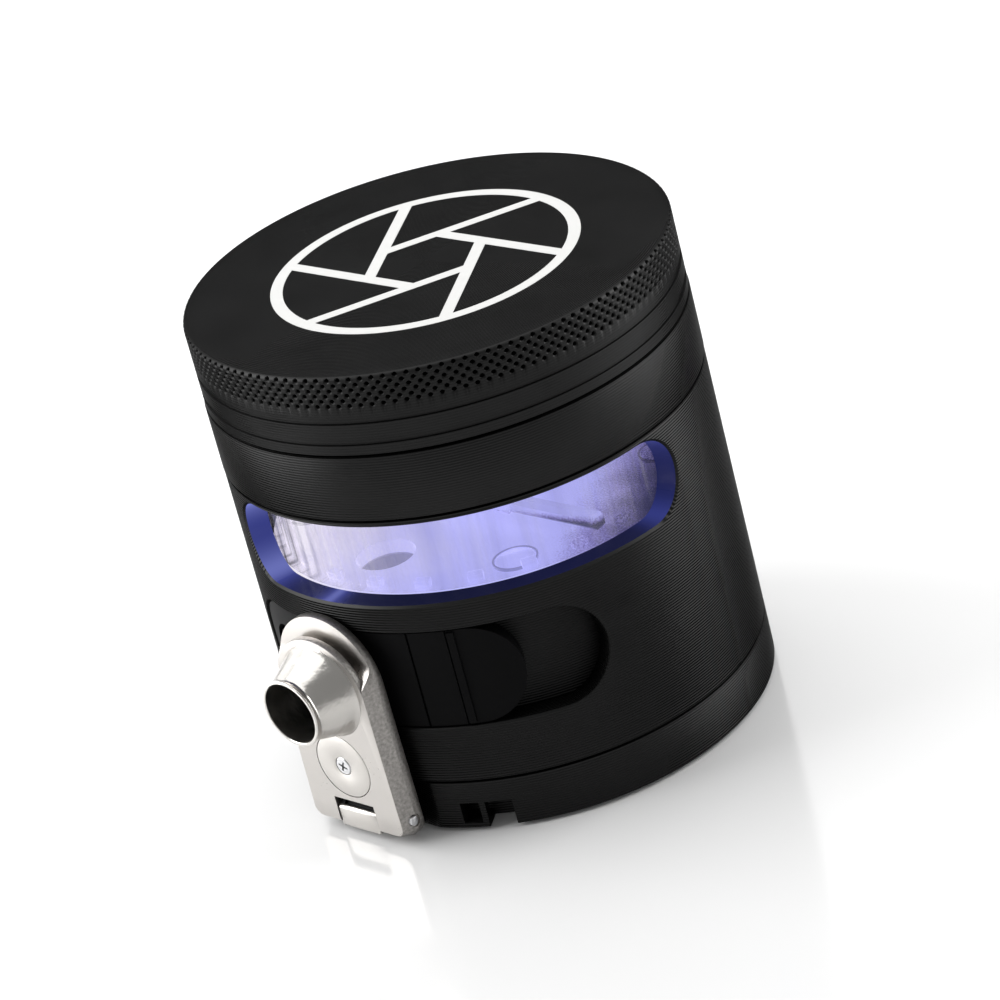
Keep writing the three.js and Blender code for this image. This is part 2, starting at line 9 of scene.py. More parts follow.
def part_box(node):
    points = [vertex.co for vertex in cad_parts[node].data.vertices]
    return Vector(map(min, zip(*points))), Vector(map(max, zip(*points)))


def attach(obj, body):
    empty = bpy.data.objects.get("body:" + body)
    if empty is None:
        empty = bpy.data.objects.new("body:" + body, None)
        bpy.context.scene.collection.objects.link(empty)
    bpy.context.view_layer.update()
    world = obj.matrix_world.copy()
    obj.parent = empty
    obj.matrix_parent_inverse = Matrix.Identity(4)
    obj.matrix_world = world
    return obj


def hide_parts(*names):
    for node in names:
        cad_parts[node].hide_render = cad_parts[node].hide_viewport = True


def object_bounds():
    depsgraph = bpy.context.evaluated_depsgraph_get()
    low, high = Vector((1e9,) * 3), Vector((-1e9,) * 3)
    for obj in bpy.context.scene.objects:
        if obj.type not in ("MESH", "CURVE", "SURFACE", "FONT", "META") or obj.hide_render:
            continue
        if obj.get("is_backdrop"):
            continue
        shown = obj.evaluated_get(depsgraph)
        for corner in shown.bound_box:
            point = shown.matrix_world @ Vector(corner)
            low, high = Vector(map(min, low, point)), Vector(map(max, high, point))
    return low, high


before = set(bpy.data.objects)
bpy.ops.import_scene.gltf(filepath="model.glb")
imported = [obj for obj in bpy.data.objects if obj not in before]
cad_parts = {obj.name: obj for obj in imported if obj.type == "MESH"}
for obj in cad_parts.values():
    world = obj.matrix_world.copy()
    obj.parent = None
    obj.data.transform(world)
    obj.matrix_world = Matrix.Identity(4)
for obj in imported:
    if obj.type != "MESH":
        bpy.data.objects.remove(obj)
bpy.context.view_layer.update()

# ------------------------------------------------------------------ base ring
# The bottom storey of the body: black anodised aluminium, turned, then milled flat at the front
# for the spout's hinge and notched for a lanyard, which ties round the small post in the notch.
MM = 0.001
BODY_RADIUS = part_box("chamber_body")[1].x / MM
UP, ACROSS = Vector((0, 0, 1)), Vector((1, 0, 0))


def polar(azimuth, radius, height):
    """A point from its azimuth in degrees, counted from the front towards +X."""
    return Vector((radius * sin(radians(azimuth)), -radius * cos(radians(azimuth)), height))


def spun(section, steps=360, soften=0.0):
    """A solid turned about Z from the [radius, height] corners of its section."""
    bm = bmesh.new()
    corners = [bm.verts.new((0, -radius, height)) for radius, height in section]
    closed = corners + corners[:1] if min(radius for radius, _ in section) > 0 else corners
    edges = [bm.edges.new(pair) for pair in zip(closed, closed[1:])]
    bmesh.ops.spin(bm, geom=corners + edges, axis=UP, angle=2 * pi, steps=steps, use_merge=True)
    bmesh.ops.remove_doubles(bm, verts=bm.verts, dist=1e-4)
    bmesh.ops.recalc_face_normals(bm, faces=bm.faces)
    if soften:
        soft_edges(bm, soften)
    return bm


def soft_edges(bm, width, segments=2, sharper_than=35):
    """Rounds every edge that turns by more than an angle."""
    bm.normal_update()
    edges = [e for e in bm.edges if e.is_manifold and e.calc_face_angle() > radians(sharper_than)]
    bmesh.ops.bevel(bm, geom=edges, offset=width, affect="EDGES", segments=segments,
                    profile=0.5, material=-1, clamp_overlap=True)


def box(low, high):
    bm = bmesh.new()
    bmesh.ops.create_cube(bm, size=1)
    middle = (Vector(low) + Vector(high)) / 2
    bmesh.ops.scale(bm, vec=Vector(high) - Vector(low), verts=bm.verts)
    bmesh.ops.translate(bm, vec=middle, verts=bm.verts)
    return bm


def bent_round(bm, azimuth_of, step=1.0):
    """Bends a shape laid along +X onto the body: x becomes an arc, z stays, and -y a radius."""
    reach = [v.co.x for v in bm.verts]
    at = min(reach) + step
    while at < max(reach):
        whole = list(bm.verts) + list(bm.edges) + list(bm.faces)
        bmesh.ops.bisect_plane(bm, geom=whole, plane_co=(at, 0, 0), plane_no=ACROSS)
        at += step
    for v in bm.verts:
        v.co = polar(azimuth_of(v.co.x), -v.co.y, v.co.z)
    return bm


def put(name, bm, finish):
    """Makes an object in metres, with its place in its mesh."""
    bmesh.ops.scale(bm, vec=(MM, MM, MM), verts=bm.verts)
    mesh = bpy.data.meshes.new(name)
    bm.to_mesh(mesh)
    bm.free()
    mesh.materials.append(finish)
    made = bpy.data.objects.new(name, mesh)
    bpy.context.scene.collection.objects.link(made)
    return made


def worked(piece, tools, finish=None, operation="DIFFERENCE"):
    """Cuts the tools from a piece, or joins them to it; a finish of their own goes on the new faces."""
    for bm in tools:
        tool = put("tool", bm, finish or piece.data.materials[0])
        change = piece.modifiers.new("change", "BOOLEAN")
        change.operation = operation
        change.object = tool
        change.solver = "EXACT"
        change.material_mode = "TRANSFER"
    solid = piece.evaluated_get(bpy.context.evaluated_depsgraph_get())
    shape = bpy.data.meshes.new_from_object(solid)
    for change in list(piece.modifiers):
        bpy.data.objects.remove(change.object)
        piece.modifiers.remove(change)
    piece.data = shape
    return piece


def ready(piece, body, slot, *nodes, sharp=32):
    """Smooths a piece except at its edges, puts it under its body and hides the CAD nodes it stands for;
    `slot` is not used.
    """
    piece.data.name = piece.name
    piece.data.shade_smooth()
    piece.data.set_sharp_from_angle(angle=radians(sharp))
    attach(piece, body)
    if nodes:
        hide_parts(*nodes)
    return piece


class Wire:
    """An output of a shader node. Arithmetic on it adds Math nodes."""

    def __init__(self, finish, socket):
        self.finish = finish
        self.socket = socket

    def output(self, name):
        return Wire(self.finish, self.socket.node.outputs[name])

    def math(self, operation, first, second=0.0):
        return self.finish.add("Math", {"operation": operation}, {0: first, 1: second})

    def __add__(self, other):
        return self.math("ADD", self, other)

    def __sub__(self, other):
        return self.math("SUBTRACT", self, other)

    def __rsub__(self, other):
        return self.math("SUBTRACT", other, self)

    def __mul__(self, other):
        return self.math("MULTIPLY", self, other)

    def __truediv__(self, other):
        return self.math("DIVIDE", self, other)

    def __rtruediv__(self, other):
        return self.math("DIVIDE", other, self)

    def __gt__(self, other):
        return self.math("GREATER_THAN", self, other)

    def __lt__(self, other):
        return self.math("LESS_THAN", self, other)

    __radd__ = __add__
    __rmul__ = __mul__

    def at_least(self, least):
        return self.math("MAXIMUM", self, least)

    def at_most(self, most):
        return self.math("MINIMUM", self, most)


class Finish:
    """A node material under construction."""

    def __init__(self, name):
        self.material = bpy.data.materials.new(name)
        self.material.use_nodes = True
        self.tree = self.material.node_tree
        self.tree.nodes.clear()
        self.place = self.add("TexCoord").output("Object")

    def add(self, kind, settings=None, sockets=None):
        """Adds a node, sets it up and wires it, and returns its first output."""
        node = self.tree.nodes.new("ShaderNode" + kind)
        for name, value in (settings or {}).items():
            if name == "stops":
                while len(node.color_ramp.elements) < len(value):
                    node.color_ramp.elements.new(0.5)
                for element, (position, colour) in zip(node.color_ramp.elements, value):
                    element.position = position
                    element.color = (*colour, 1)
            else:
                setattr(node, name, value)
        for name, value in (sockets or {}).items():
            if isinstance(value, Wire):
                self.tree.links.new(value.socket, node.inputs[name])
            else:
                node.inputs[name].default_value = value
        return Wire(self, node.outputs[0]) if node.outputs else None

    def xyz(self):
        """The three coordinates of a place, in metres, as wires."""
        x = self.add("SeparateXYZ", {}, {0: self.place})
        return x, x.output("Y"), x.output("Z")

    def noise(self, scale, detail=2.0, vector=None):
        return self.add("TexNoise", {}, {"Vector": vector or self.place, "Scale": scale, "Detail": detail})

    def ramp(self, factor, stops):
        """A colour read off a ramp of (position, (r, g, b)) stops."""
        return self.add("ValToRGB", {"stops": stops}, {"Fac": factor})

    def blend(self, factor, low, high):
        """A colour between two, as plain (r, g, b)."""
        return self.ramp(factor, [(0.0, low), (1.0, high)])

    def bump(self, height, distance, strength=1.0):
        return self.add("Bump", {}, {"Height": height, "Distance": distance, "Strength": strength})

    def shaded(self, **sockets):
        """Ends the material in a Principled shader whose sockets are named with underscores."""
        named = {name.replace("_", " "): value for name, value in sockets.items()}
        surface = self.add("BsdfPrincipled", {}, named)
        self.add("OutputMaterial", {}, {"Surface": surface})
        return self.material


LATHE_PITCH, PIT_SHADE_DEPTH = 0.36, 0.18


def anodised(name, line_depth, roughness, shade, milled=None):
    """Black anodised aluminium with the lathe's fine lines.

    `milled` gives the bottom, top and radius of a band in which what lies deeper is painted darker: painted
    shade in the pits."""
    finish = Finish(name)
    x, y, height = finish.xyz()
    radius = x.math("SQRT", x * x + y * y)
    wander = finish.noise(260.0, 3.0)
    turns = (radius + height) * (2 * pi / (LATHE_PITCH * MM)) + wander * 1.2
    lines = turns.math("SINE", turns)
    worn = finish.noise(90.0, 4.0)
    level = worn * 0.7 + lines * 0.15
    if milled:
        low, high, surface = milled
        # Painted shade: the deeper a place lies in the band, the darker its colour.
        in_band = (height / MM > low) * (height / MM < high)
        pit_shade = (surface - radius / MM) / PIT_SHADE_DEPTH
        level = level - in_band * pit_shade.at_least(0.0)
    stops = ((0.0, 0.12), (0.12, 0.8), (1.0, 1.25))
    return finish.shaded(
        Base_Color=finish.ramp(level, [(at, (shade * share,) * 3) for at, share in stops]),
        Metallic=1.0,
        Roughness=wander * 0.08 + (roughness - 0.04),
        Specular_Tint=(0.32, 0.32, 0.32, 1),
        Normal=finish.bump(lines, line_depth * MM),
    )


turned_black = anodised("black_anodised_turned", 0.028, 0.40, 0.024)


def heights(node):
    """The lowest and the highest point of a CAD node."""
    low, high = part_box(node)
    return low.z / MM, high.z / MM


BASE_BOTTOM, BASE_TOP = heights("base_ring")
BASE_BORE, FLANGE_BORE, FLANGE_BOTTOM = 27.9, 23.8, 5.2
HINGE_FLAT, LEAF_NOTCH_HALF, LEAF_NOTCH_BACK, LEAF_NOTCH_TOP = 30.0, 3.5, 28.8, 4.4
NOTCH_FROM, NOTCH_TO, NOTCH_TOP, NOTCH_BACK = 23.7, 36.2, 4.2, 28.5
POST_FROM, POST_TO, POST_BACK, STRIP_TOP = 28.3, 29.7, 30.1, 1.2
# A cutting tool starts or ends at one of these where it runs out of the metal.
UNDER, OUTSIDE, INSIDE, BESIDE = -1.0, 33.0, 24.0, 12.0


def sector(start, end, inner, outer, bottom, top):
    """A block bent round the axis between two azimuths."""
    length = 10
    per_mm = (end - start) / length
    flat = box((0, -outer, bottom), (length, -inner, top))
    return bent_round(flat, lambda x: start + x * per_mm, length / max(1, round(end - start)))


base_ring = put("base_ring_turned", spun([
    (BODY_RADIUS, BASE_BOTTOM), (BODY_RADIUS, BASE_TOP), (FLANGE_BORE, BASE_TOP),
    (FLANGE_BORE, FLANGE_BOTTOM), (BASE_BORE, FLANGE_BOTTOM), (BASE_BORE, BASE_BOTTOM),
], soften=0.18), turned_black)
worked(base_ring, [
    box((-BESIDE, -OUTSIDE, UNDER), (BESIDE, -HINGE_FLAT, BASE_TOP + 1)),
    box((-LEAF_NOTCH_HALF, -OUTSIDE, UNDER), (LEAF_NOTCH_HALF, -LEAF_NOTCH_BACK, LEAF_NOTCH_TOP)),
    sector(NOTCH_FROM, POST_FROM, NOTCH_BACK, OUTSIDE, STRIP_TOP, NOTCH_TOP),
    sector(POST_TO, NOTCH_TO, NOTCH_BACK, OUTSIDE, UNDER, NOTCH_TOP),
    sector(NOTCH_FROM, NOTCH_TO, NOTCH_BACK, POST_BACK, STRIP_TOP, NOTCH_TOP),
])
ready(base_ring, "housing", "black_aluminium", "base_ring")

# ------------------------------------------------------------------ base cover, foot and screws
# A moulded cover snaps into the base ring and hides the screws; a thin rubber disc is glued under
# it. Both are plain, with a fine spark-eroded grain and soft edges.


def moulded(name, shade, roughness, grain=900.0, grain_depth=0.006, specular=0.4):
    """A matte plastic or rubber with a fine moulded grain."""
    finish = Finish(name)
    grains = finish.noise(grain * 3, 2.0)
    cloud = finish.noise(120.0, 3.0)
    return finish.shaded(
        Base_Color=finish.blend(cloud, tuple(c * 0.85 for c in shade), tuple(c * 1.15 for c in shade)),
        Roughness=cloud * 0.1 + (roughness - 0.05),
        Specular_IOR_Level=specular,
        Normal=finish.bump(grains, grain_depth * MM, 0.6),
    )


black_moulding = moulded("black_moulding", (0.0022, 0.0022, 0.0025), 0.55, specular=0.06)
black_rubber = moulded("black_rubber", (0.008, 0.008, 0.008), 0.8, 600.0, 0.02, specular=0.2)


def disc(radius, bottom, top, soften):
    """A plain round plate on the axis."""
    return spun([(0, bottom), (radius, bottom), (radius, top), (0, top)], 180, soften)


COVER_RADIUS, COVER_BOTTOM, COVER_TOP = 27.6, 0.9, 2.4
FOOT_RADIUS, FOOT_TOP = 25.4, 0.6
cover = put("base_cover_moulded", disc(COVER_RADIUS, COVER_BOTTOM, COVER_TOP, 0.3), black_moulding)
ready(cover, "housing", "black_plastic", "base_cover")
foot = put("rubber_foot_disc", disc(FOOT_RADIUS, 0, FOOT_TOP, 0.2), black_rubber)
ready(foot, "housing", "rubber", "rubber_foot")


def metal(name, colour, roughness, grain=2500.0, grain_depth=0.003, streaks=0.10, waves=0.0):
    """Bare or plated metal, a little uneven in polish; `waves` are shallow hollows left by polishing."""
    finish = Finish(name)
    grains = finish.noise(grain, 3.0)
    cloud = finish.noise(180.0, 4.0)
    return finish.shaded(
        Base_Color=finish.blend(cloud, tuple(c * 0.9 for c in colour), colour),
        Metallic=1.0,
        Roughness=cloud * streaks + grains * 0.06 + (roughness - streaks / 2 - 0.03),
        Normal=finish.bump(grains * grain_depth + cloud * waves, MM, 0.5),
    )


machined_steel = metal("machined_steel", (0.56, 0.56, 0.57), 0.34)


def coat(finish, *nodes):
    """Gives CAD nodes that show as they are a material."""
    for name in nodes:
        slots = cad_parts[name].data.materials
        slots.clear()
        slots.append(finish)


coat(machined_steel, "base_screw_1", "base_screw_2", "base_screw_3", "base_screw_4")

# ------------------------------------------------------------------ chamber body
# The tall storey: a turned aluminium tube, black anodised. The long window and the gate's slot are
# milled into it, a port leads to the chute, and a hole at the back takes the charging socket.
BODY_BOTTOM, BODY_TOP = heights("chamber_body")
UPPER_BORE, LOWER_BORE, LEDGE, FLANGE_TOP = 28.4, 26.8, 30.3, 9.5
WINDOW = {"start": -26.3, "end": 96.7, "middle": 38.6, "half": 5.6}
SLOT = {"start": -33.3, "end": 67.0, "middle": 22.25, "half": 6.95}
SLOT_FLOOR, WINDOW_TOOL_START = 28.5, 27.0
WINDOW_EDGE, SLOT_EDGE = 0.28, 0.12
PORT_HEIGHT, PORT_RADIUS = 21.8, 4.2
LATCH_HEIGHT, LATCH_RADIUS, LATCH_BACK = 10.6, 2.6, 29.4
CHARGE_HALF, CHARGE_BOTTOM, CHARGE_TOP = 4.8, 12.05, 15.95


def rod(radius, start, end, segments=32):
    """A round bar between two points."""
    bm = bmesh.new()
    along = Vector(end) - Vector(start)
    bmesh.ops.create_cone(bm, cap_ends=True, segments=segments, radius1=radius, radius2=radius,
                          depth=along.length)
    turned = along.to_track_quat("Z", "Y").to_matrix().to_4x4()
    middle = (Vector(start) + Vector(end)) / 2
    bmesh.ops.transform(bm, matrix=Matrix.Translation(middle) @ turned, verts=bm.verts)
    return bm


def ends_rounded(bm, radius, segments):
    """Rounds the edges of a block that run from front to back."""
    ends = [e for e in bm.edges if abs((e.verts[0].co - e.verts[1].co).normalized().y) > 0.9]
    bmesh.ops.bevel(bm, geom=ends, offset=radius, affect="EDGES", segments=segments, profile=0.5,
                    material=-1)
    return bm


def round_ended(start, end, middle, half, inner, outer, flare=0.0, step=0.55):
    """A slot's shape with round ends, bent onto the body; `flare` widens it at its outer radius."""
    length = radians(end - start) * BODY_RADIUS
    bm = ends_rounded(box((0, -outer, middle - half), (length, -inner, middle + half)), half * 0.9995, 20)
    for v in bm.verts:
        if flare and v.co.y < -(inner + outer) / 2:
            core = Vector((min(max(v.co.x, half), length - half), v.co.y, middle))
            v.co += (v.co - core).normalized() * flare
    return bent_round(bm, lambda x: start + (end - start) * x / length, step)


def broken_edge(shape, width):
    """The tool that chamfers the outer edge of a window or slot."""
    return round_ended(**shape, inner=BODY_RADIUS - width, outer=BODY_RADIUS + width, flare=2 * width)


def charge_hole():
    """The charging socket's round-ended opening, through the back wall."""
    through = box((-CHARGE_HALF, INSIDE, CHARGE_BOTTOM), (CHARGE_HALF, OUTSIDE, CHARGE_TOP))
    return ends_rounded(through, (CHARGE_TOP - CHARGE_BOTTOM) / 2 * 0.999, 12)


def azimuth_of(x, y):
    """The azimuth of a place in degrees, as a wire."""
    return x.math("ARCTAN2", x, 0 - y) * (180 / pi)


def painted_light_edge():
    """The black wall of the window's cut, with violet light painted on as a glow, mostly near its ends and
    above the spout, and a little brighter towards the top.
    """
    finish = Finish("window_edge_painted_light")
    x, y, z = finish.xyz()
    azimuth = azimuth_of(x, y)
    glow = None
    for where, width, strength in ((-21, 6, 0.85), (2.7, 3.0, 0.72), (90, 4.5, 0.50), (60, 18, 0.10)):
        away = (azimuth - where) / width
        lobe = strength / (1 + away * away)
        glow = lobe if glow is None else glow + lobe
    rise = (z / MM - (WINDOW["middle"] - WINDOW["half"])) / 10.0
    level = glow * 0.75 + rise * 0.10 + finish.noise(60.0, 2.0) * 0.05
    violets = [(0.0, (0.002, 0.003, 0.012)), (0.15, (0.005, 0.007, 0.045)), (0.45, (0.035, 0.045, 0.23)),
               (0.8, (0.20, 0.23, 0.62))]
    return finish.shaded(
        Base_Color=finish.blend(level, (0.004, 0.004, 0.010), (0.02, 0.02, 0.05)),
        Roughness=level * 0.1 + 0.25,
        Emission_Color=finish.ramp(level, violets),
        Emission_Strength=0.9,
        Specular_IOR_Level=0.15,
    )


body = put("chamber_body_milled", spun([
    (BODY_RADIUS, BODY_BOTTOM), (BODY_RADIUS, BODY_TOP), (UPPER_BORE, BODY_TOP), (UPPER_BORE, LEDGE),
    (LOWER_BORE, LEDGE), (LOWER_BORE, FLANGE_TOP), (FLANGE_BORE, FLANGE_TOP), (FLANGE_BORE, BODY_BOTTOM),
], soften=0.12), turned_black)
# The cut wall of the window takes the painted violet light.
worked(body, [round_ended(**WINDOW, inner=WINDOW_TOOL_START, outer=OUTSIDE)], painted_light_edge())
worked(body, [
    broken_edge(WINDOW, WINDOW_EDGE),
    round_ended(**SLOT, inner=SLOT_FLOOR, outer=OUTSIDE),
    broken_edge(SLOT, SLOT_EDGE),
    rod(PORT_RADIUS, (0, -INSIDE, PORT_HEIGHT), (0, -SLOT_FLOOR - 1, PORT_HEIGHT), 64),
    rod(LATCH_RADIUS, (0, -LATCH_BACK, LATCH_HEIGHT), (0, -OUTSIDE, LATCH_HEIGHT), 48),
    charge_hole(),
])
ready(body, "housing", "black_aluminium", "chamber_body")

# ------------------------------------------------------------------ works under the floor
# The motor, its gearbox and battery stand on a moulded frame, with a circuit board. A charging
# socket stands in the back wall, and a small switch behind the gate's slot.
wrapped_cell = moulded("shrink_wrap", (0.05, 0.16, 0.36), 0.35)
solder_mask = moulded("solder_mask", (0.010, 0.085, 0.032), 0.4, 500.0)
plated_magnet = metal("plated_magnet", (0.62, 0.61, 0.59), 0.24)
coat(wrapped_cell, "battery")
coat(solder_mask, "circuit_board", "light_board")
coat(black_moulding, "inner_frame", "gate_switch")
coat(machined_steel, "drive_motor", "gearbox", "charging_socket")
coat(plated_magnet, "latch_magnet", "ring_magnet", "lid_magnet", "plate_magnet")

# ------------------------------------------------------------------ chamber floor, lamps and window
# The floor is a milky plate over four lamps, so it glows. It has an outlet to the chute, and a
# raised lens over each lamp. A clear tube stands on it and closes the window from the inside.
FLOOR_BOTTOM, FLOOR_TOP = heights("chamber_floor")
FLOOR_BORE, FLOOR_RADIUS = 2.1, 28.0
OUTLET_RADIUS, OUTLET_REACH = 3.9, 19
LAMP_AZIMUTHS, LAMP_REACH = (52, 128, 232, 308), 23.2
LENS_RADIUS, RIM_INNER, RIM_OUTER, RIM_HEIGHT = 2.6, 2.7, 2.95, 0.34
HAIR_GAP = 0.02
GLOW = [(0.0, (0.84, 0.80, 0.88)), (0.20, (0.60, 0.59, 0.88)), (0.45, (0.48, 0.49, 0.93)),
        (0.76, (0.45, 0.46, 0.90)), (0.87, (0.24, 0.22, 0.50)), (0.95, (0.09, 0.08, 0.20)),
        (1.0, (0.04, 0.04, 0.10))]
UNLIT_SHARE = 0.14


def hoop(inner, outer, bottom, top, steps=180, soften=0.0):
    """A flat-sided ring round the axis."""
    return spun([(outer, bottom), (outer, top), (inner, top), (inner, bottom)], steps, soften)


def lit_plastic(name, strength, gloss=0.25, sides=None):
    """Milky plastic that glows, with light and shade painted into its glow by place: nearly white at the
    front and -X, then lilac, and dusky towards +X.

    `sides` gives a bottom and a top height between which it grows from dim to bright: painted light on its
    top."""
    finish = Finish(name)
    x, y, z = finish.xyz()
    # Painted light and shade: the glow dims from the front and -X towards +X.
    across = (x * 0.85 + y * 0.5) / MM
    cloud = finish.noise(110.0, 4.0)
    specks = finish.noise(4200.0, 2.0)
    level = (across + 21.0) / 45.0 + (cloud - 0.5) * 0.26 + (specks - 0.5) * 0.26
    if sides:
        low, high = sides
        level = level + 0.35 - (z / MM - low) * (0.6 / (high - low))
    unlit = [(position, tuple(c * UNLIT_SHARE for c in colour)) for position, colour in GLOW]
    return finish.shaded(
        Base_Color=finish.ramp(level, unlit),
        Roughness=cloud * 0.1 + gloss,
        Emission_Color=finish.ramp(level, GLOW),
        Emission_Strength=strength,
        Normal=finish.bump(specks, 0.02 * MM, 0.4),
    )


milky_lit = lit_plastic("milky_plastic_lit", 0.98)
lens_lit = lit_plastic("lens_plastic_lit", 1.02, 0.12)
# The lens rims glow at half strength: a painted shade that outlines each lens.
lens_rim = lit_plastic("lens_rim_lit", 0.52)
# The chute glows dimly though no lamp is in it: painted light that shows the outlet as a lilac shade.
coat(lit_plastic("chute_plastic_lit", 0.45), "chute")
floor_plate = put("chamber_floor_lit", hoop(FLOOR_BORE, FLOOR_RADIUS, FLOOR_BOTTOM, FLOOR_TOP, soften=0.2),
                  milky_lit)
worked(floor_plate, [
    rod(OUTLET_RADIUS, (0, -OUTLET_REACH, FLOOR_BOTTOM - 1), (0, -OUTLET_REACH, FLOOR_TOP + 1), 64),
])
ready(floor_plate, "housing", "milky_plastic", "chamber_floor")

for number, azimuth in enumerate(LAMP_AZIMUTHS, 1):
    lens = spun([(0, 0), (LENS_RADIUS, 0), (LENS_RADIUS, 0.30), (LENS_RADIUS - 0.2, 0.42), (0, 0.5)], 64)
    rim = hoop(RIM_INNER, RIM_OUTER, 0, RIM_HEIGHT, 64)
    for bm in (lens, rim):
        bmesh.ops.translate(bm, vec=polar(azimuth, LAMP_REACH, FLOOR_TOP + HAIR_GAP), verts=bm.verts)
    ready(put(f"lamp_lens_{number}", lens, lens_lit), "housing", "led")
    ready(put(f"lamp_lens_rim_{number}", rim, lens_rim), "housing", "milky_plastic")


def lamp_chip():
    """The small lamps under the floor, lit."""
    finish = Finish("lamp_chip")
    cloud = finish.noise(500.0, 2.0)
    bluish = finish.blend(cloud, (0.81, 0.81, 0.90), (0.90, 0.90, 1.0))
    return finish.shaded(Base_Color=bluish, Roughness=cloud * 0.1 + 0.25, Emission_Color=bluish,
                         Emission_Strength=6.0)


coat(lamp_chip(), "led_1", "led_2", "led_3", "led_4")
SLEEVE_INNER, SLEEVE_OUTER, SLEEVE_BOTTOM, SLEEVE_TOP = 26.7, 28.1, 32.9, 44.6


def clear_tube():
    """Polished clear plastic: glossier at a slant, with painted streaks of glare near the window's ends and a
    painted reflection that runs from dusky to cream.
    """
    finish = Finish("clear_plastic")
    scuffs = finish.noise(700.0, 4.0)
    through = finish.add("BsdfTransparent", {}, {"Color": (0.96, 0.95, 1.0, 1)})
    slant = finish.add("LayerWeight", {}, {"Blend": 0.25}).output("Facing")
    x, y, z = finish.xyz()
    azimuth = azimuth_of(x, y)
    upright = finish.add("CombineXYZ", {}, {0: azimuth * 0.30, 1: z * 40.0})
    glare_streaks = ((finish.noise(1.0, 3.0, upright) - 0.45) * 5.0).at_least(0.0).at_most(1.0)
    from_left, from_right = (azimuth + 24.0) / 15.0, (azimuth - 92.0) / 8.0
    near_ends = 1.0 / (1 + from_left * from_left) + 0.2 / (1 + from_right * from_right) + 0.06
    # Painted reflection: the skin's colour wanders from dusky to cream in upright streaks.
    reflection_tone = finish.noise(0.8, 2.0, upright) * 2.4 - 0.7
    skin = finish.add("BsdfPrincipled", {}, {
        "Base Color": finish.blend(reflection_tone, (0.10, 0.10, 0.19), (1.0, 0.97, 0.92)),
        "Roughness": scuffs * 0.06 + 0.03, "Specular IOR Level": 0.6})
    share = slant * 0.12 + scuffs * 0.02 + glare_streaks * near_ends * 0.62 + 0.02
    mixed = finish.add("MixShader", {}, {0: share, 1: through, 2: skin})
    finish.add("OutputMaterial", {}, {"Surface": mixed})
    return finish.material


sleeve = put("window_sleeve_clear", hoop(SLEEVE_INNER, SLEEVE_OUTER, SLEEVE_BOTTOM, SLEEVE_TOP, 240, 0.25),
             clear_tube())
ready(sleeve, "housing", "clear_plastic", "window_sleeve")

# Small clear lugs on the floor hold the foot of the tube in place; they take the lenses' glowing finish,
# painted glints of light.
LUG_HALF, LUG_INNER, LUG_OUTER, LUG_HEIGHT, LUG_PITCH = 2.2, 25.35, 26.6, 1.1, 15
for number, azimuth in enumerate(range(-20, 340, LUG_PITCH), 1):
    lug = sector(azimuth - LUG_HALF, azimuth + LUG_HALF, LUG_INNER, LUG_OUTER,
                 FLOOR_TOP + HAIR_GAP, FLOOR_TOP + LUG_HEIGHT)
    soft_edges(lug, 0.18)
    ready(put(f"tube_lug_{number}", lug, lens_lit), "housing", "clear_plastic")

# ------------------------------------------------------------------ sweeper
# A moulded hub with two steel arms, each in a clamp block, turned by the motor through a shaft. It
# pushes the ground herb round the floor until it drops into the outlet.
HUB_BORE, HUB_RADIUS, HUB_BOTTOM, HUB_TOP, HUB_CHAMFER, HUB_FACETS = 1.6, 6.6, 33.0, 37.0, 1.2, 12
ARM = {"from": 5.4, "to": 25.0, "offset": -4.8, "half": 1.1, "bottom": 33.0, "top": 35.2}
CLAMP = {"from": 7.4, "to": 10.2, "offset": -4.8, "half": 1.5, "bottom": 33.1, "top": 35.8}
# The hub, clamps and arms glow like the floor and grow brighter towards their tops: painted light from the
# lamps below, also on the steel arms.
sweeper_lit = lit_plastic("sweeper_plastic_lit", 0.85, 0.15, (33.2, 35.4))
hub_lit = lit_plastic("sweeper_hub_lit", 1.0, 0.08, (33.0, 36.0))


def arm_block(shape, turn, soften):
    """A soft-edged block beside the hub, turned round the axis."""
    bm = box((shape["from"], shape["offset"] - shape["half"], shape["bottom"]),
             (shape["to"], shape["offset"] + shape["half"], shape["top"]))
    soft_edges(bm, soften, 1)
    bmesh.ops.rotate(bm, cent=(0, 0, 0), matrix=Matrix.Rotation(turn, 3, "Z"), verts=bm.verts)
    return bm


hub = put("sweeper_hub_moulded", spun([
    (HUB_BORE, HUB_BOTTOM), (HUB_RADIUS, HUB_BOTTOM), (HUB_RADIUS, HUB_TOP - HUB_CHAMFER),
    (HUB_RADIUS - HUB_CHAMFER, HUB_TOP), (HUB_BORE, HUB_TOP),
], HUB_FACETS, 0.2), hub_lit)
ready(hub, "sweeper", "milky_plastic", "sweeper_hub")
for number, turn in ((1, 0), (2, pi)):
    clamp = put(f"sweeper_arm_clamp_{number}", arm_block(CLAMP, turn, 0.35), hub_lit)
    ready(clamp, "sweeper", "milky_plastic")
    arm = put(f"sweeper_arm_bar_{number}", arm_block(ARM, turn, 0.62), sweeper_lit)
    ready(arm, "sweeper", "steel", f"sweeper_arm_{number}")
coat(machined_steel, "drive_shaft")

